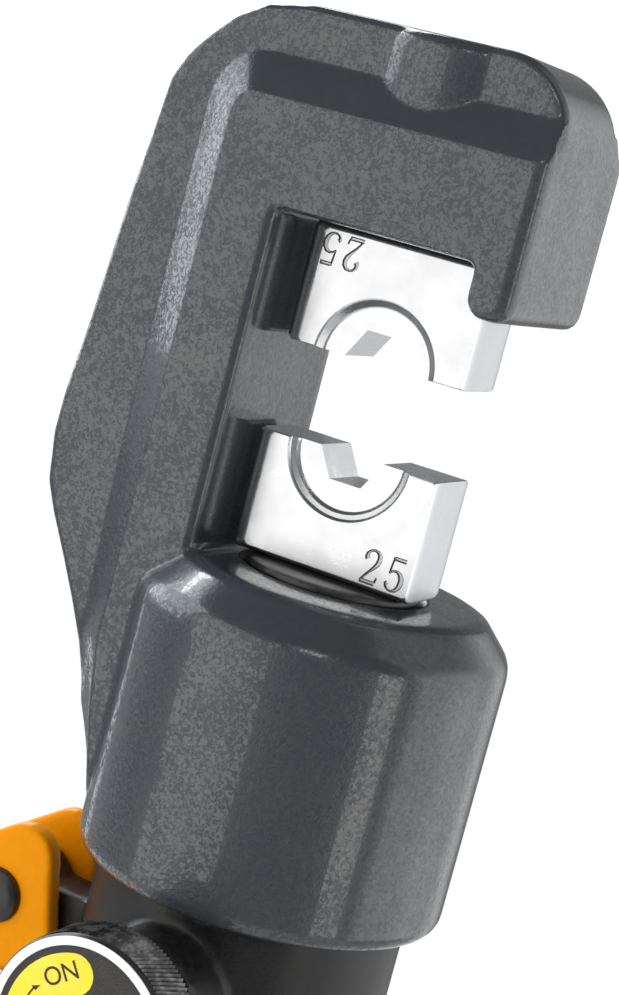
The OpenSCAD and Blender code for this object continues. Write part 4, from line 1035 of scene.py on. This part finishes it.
CAD_FINISHES = {
    "black_steel": (BLACK_STEEL, 0.25, ["head_lock_screw", "upper_pin_screw", "spring_seat", "return_bolt",
                                        "outlet_retainer", "relief_pusher", "relief_screw",
                                        "spindle_gland", "plunger_gland", "suction_seat",
                                        "plunger_pin", "knob_screw"]),
    "bright_steel": (BRIGHT_STEEL, 0.15, ["upper_die_pin", "lower_die_pin", "outlet_ball", "relief_ball",
                                          "release_ball", "release_spindle", "pump_plunger",
                                          "suction_ball", "bladder_clamp", "pivot_clip",
                                          "plunger_pin_clips", "handle_roll_pin", "filler_screw"]),
    "spring_steel": (SPRING_STEEL, 0.0, ["upper_pin_spring", "return_spring", "outlet_spring",
                                         "relief_spring", "suction_spring"]),
    "body_black": (BODY_BLACK, 0.5, ["reservoir_tube", "handle_tube"]),
    "seal_rubber": (SEAL_RUBBER, 0.1, ["lower_die_ring", "ram_wiper", "piston_seal", "spindle_oring",
                                       "plunger_seal", "oil_bladder", "cap_oring"]),
    "cap_plastic": (CAP_PLASTIC, 0.4, ["end_cap", "handle_cap"]),
    "white_plastic": (WHITE_PLASTIC, 0.0, ["piston_backup_ring"]),
    "filter_brass": (FILTER_BRASS, 0.2, ["suction_filter"]),
    "washer_copper": (WASHER_COPPER, 0.15, ["filler_washer"]),
}


def dress_cad_node(name, material, edge):
    """Finish and small round edges on a CAD solid, whose mesh stays as it is"""
    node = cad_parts[name]
    node.data.materials.clear()
    node.data.materials.append(material)
    for face in node.data.polygons:
        face.material_index = 0
        face.use_smooth = True
    weld = node.modifiers.new("weld", "WELD")
    weld.merge_threshold = 1e-6
    if edge > 0:
        flatten = node.modifiers.new("flatten", "DECIMATE")
        flatten.decimate_type = "DISSOLVE"
        flatten.angle_limit = math.radians(1)
        rounding = node.modifiers.new("rounding", "BEVEL")
        rounding.width = edge * MM
        rounding.segments = 3
        rounding.limit_method = "ANGLE"
        rounding.angle_limit = math.radians(30)
        rounding.harden_normals = True


for material, edge, names in CAD_FINISHES.values():
    for name in names:
        dress_cad_node(name, material, edge)

# ---------------------------------------------------------------- the studio

FLOOR_RADIUS = 0.45
FLOOR_FADE = (0.16, 0.42)
LAMP_CENTRE = point(0, 0, 10)
LAMP_DISTANCE = 0.9
CAMERA_PLACE = (0.13202, -0.31233, 0.24199)
CAMERA_FORWARD = Vector((-0.402608, 0.901426, -0.159181))
CAMERA_UP = Vector((-0.292615, 0.038032, 0.955474))
CAMERA_LENS = 80.73


def studio_floor():
    """Pale floor that keeps the shadow and fades to white around it for the camera"""
    put_down()
    bpy.ops.mesh.primitive_circle_add(vertices=96, radius=FLOOR_RADIUS, fill_type="NGON",
                                      location=(0, 0, cad_box[0][2]))
    floor = name_piece("studio_floor")
    finish, tree, shader, place = start_finish("floor_white")
    shader.inputs["Base Color"].default_value = (0.80, 0.80, 0.80, 1.0)
    shader.inputs["Roughness"].default_value = 0.8
    grain = use(tree, FINE_GRAIN, [("Vector", place), ("Grains per metre", 400.0)])
    raise_skin(tree, shader, grain["Height"], 0.05)
    away = add(tree, "VectorMath", [(0, place)], operation="LENGTH")
    rim = ramp(tree, away.outputs["Value"], *FLOOR_FADE, interpolation_type="SMOOTHSTEP")
    rays = add(tree, "LightPath")
    share = work_out(tree, "MULTIPLY", rim, rays.outputs["Is Camera Ray"])
    white = add(tree, "Emission", [("Strength", 1.0)])
    fade = add(tree, "MixShader", [(0, share), (1, shader.outputs[0]), (2, white.outputs[0])])
    tree.links.new(fade.outputs[0], tree.nodes["Material Output"].inputs["Surface"])
    floor.data.materials.append(finish)


def lamp(name, azimuth, elevation, wide, tall, glow, tint):
    """Area lamp that faces the head and fills the given angles, with the given brightness"""
    turn = math.radians(azimuth)
    rise = math.radians(elevation)
    toward = Vector((math.sin(turn) * math.cos(rise), -math.cos(turn) * math.cos(rise), math.sin(rise)))
    light = bpy.data.lights.new(name, "AREA")
    light.shape = "RECTANGLE"
    light.size = 2 * LAMP_DISTANCE * math.tan(math.radians(wide / 2))
    light.size_y = 2 * LAMP_DISTANCE * math.tan(math.radians(tall / 2))
    light.energy = glow * math.pi * light.size * light.size_y
    light.color = tint
    holder = bpy.data.objects.new(name, light)
    holder.location = LAMP_CENTRE + toward * LAMP_DISTANCE
    holder.rotation_euler = toward.to_track_quat("Z", "Y").to_euler()
    holder.visible_camera = False
    bpy.context.scene.collection.objects.link(holder)


def studio_world():
    """White behind the object for the camera and for gloss on the right, soft grey elsewhere"""
    world = bpy.data.worlds.new("studio")
    bpy.context.scene.world = world
    world.use_nodes = True
    tree = world.node_tree
    background = tree.nodes["Background"]
    rays = add(tree, "LightPath")
    heading = add(tree, "TexCoord")
    split = add(tree, "SeparateXYZ", [(0, heading.outputs["Generated"])]).outputs
    front = work_out(tree, "MULTIPLY", split["Y"], -1.0)
    azimuth = work_out(tree, "ARCTAN2", split["X"], front)
    level = ramp(tree, azimuth, math.radians(84), math.radians(92), 0.22, 1.68)
    for value, start, end, rest in ((azimuth, math.radians(128), math.radians(148), 0.575),
                                    (azimuth, math.radians(166), math.radians(180), 0.33),
                                    (split["Z"], 0.34, 0.64, 0.36)):
        level = work_out(tree, "MULTIPLY", level, ramp(tree, value, start, end, 1.0, rest))
    gloss = work_out(tree, "MAXIMUM", rays.outputs["Is Glossy Ray"], rays.outputs["Is Transmission Ray"])
    soft = ramp(tree, split["Z"], 0.1, 0.9, 0.82, 0.35)
    seen = ramp(tree, gloss, 0.0, 1.0, soft, level)
    strength = ramp(tree, rays.outputs["Is Camera Ray"], 0.0, 1.0, seen, 1.0)
    background.inputs["Color"].default_value = (1.0, 1.0, 1.0, 1.0)
    tree.links.new(strength, background.inputs["Strength"])


def photo_camera():
    """Camera at the photograph's place and angle"""
    side = CAMERA_FORWARD.cross(CAMERA_UP).normalized()
    data = bpy.data.cameras.new("photo_camera")
    data.lens = CAMERA_LENS
    camera = bpy.data.objects.new("photo_camera", data)
    turn = Matrix((side, CAMERA_UP, -CAMERA_FORWARD)).transposed().to_4x4()
    camera.matrix_world = Matrix.Translation(CAMERA_PLACE) @ turn
    bpy.context.scene.collection.objects.link(camera)
    bpy.context.scene.camera = camera


studio_floor()
lamp("key_softbox", -30, 4, 54, 64, 1.25, (1.0, 0.97, 0.925))
lamp("key_low", -30, -15, 54, 24, 0.22, (1.0, 0.97, 0.925))
lamp("left_strip", -94, 18, 56, 46, 2.6, (0.88, 0.94, 1.0))
lamp("left_back", -132, 24, 28, 44, 5.0, (0.92, 0.96, 1.0))
lamp("left_spark", -105, 36, 15, 9, 9.0, (0.95, 0.98, 1.0))
lamp("rim_strip", -116, -16, 7, 26, 1.2, (0.88, 0.94, 1.0))
lamp("right_strip", 70, -5, 16, 44, 2.0, (1.0, 0.97, 0.92))
lamp("front_spot", 20, 38, 14, 9, 4.5, (1.0, 0.98, 0.95))
studio_world()
photo_camera()
bpy.context.scene.view_settings.view_transform = "Standard"
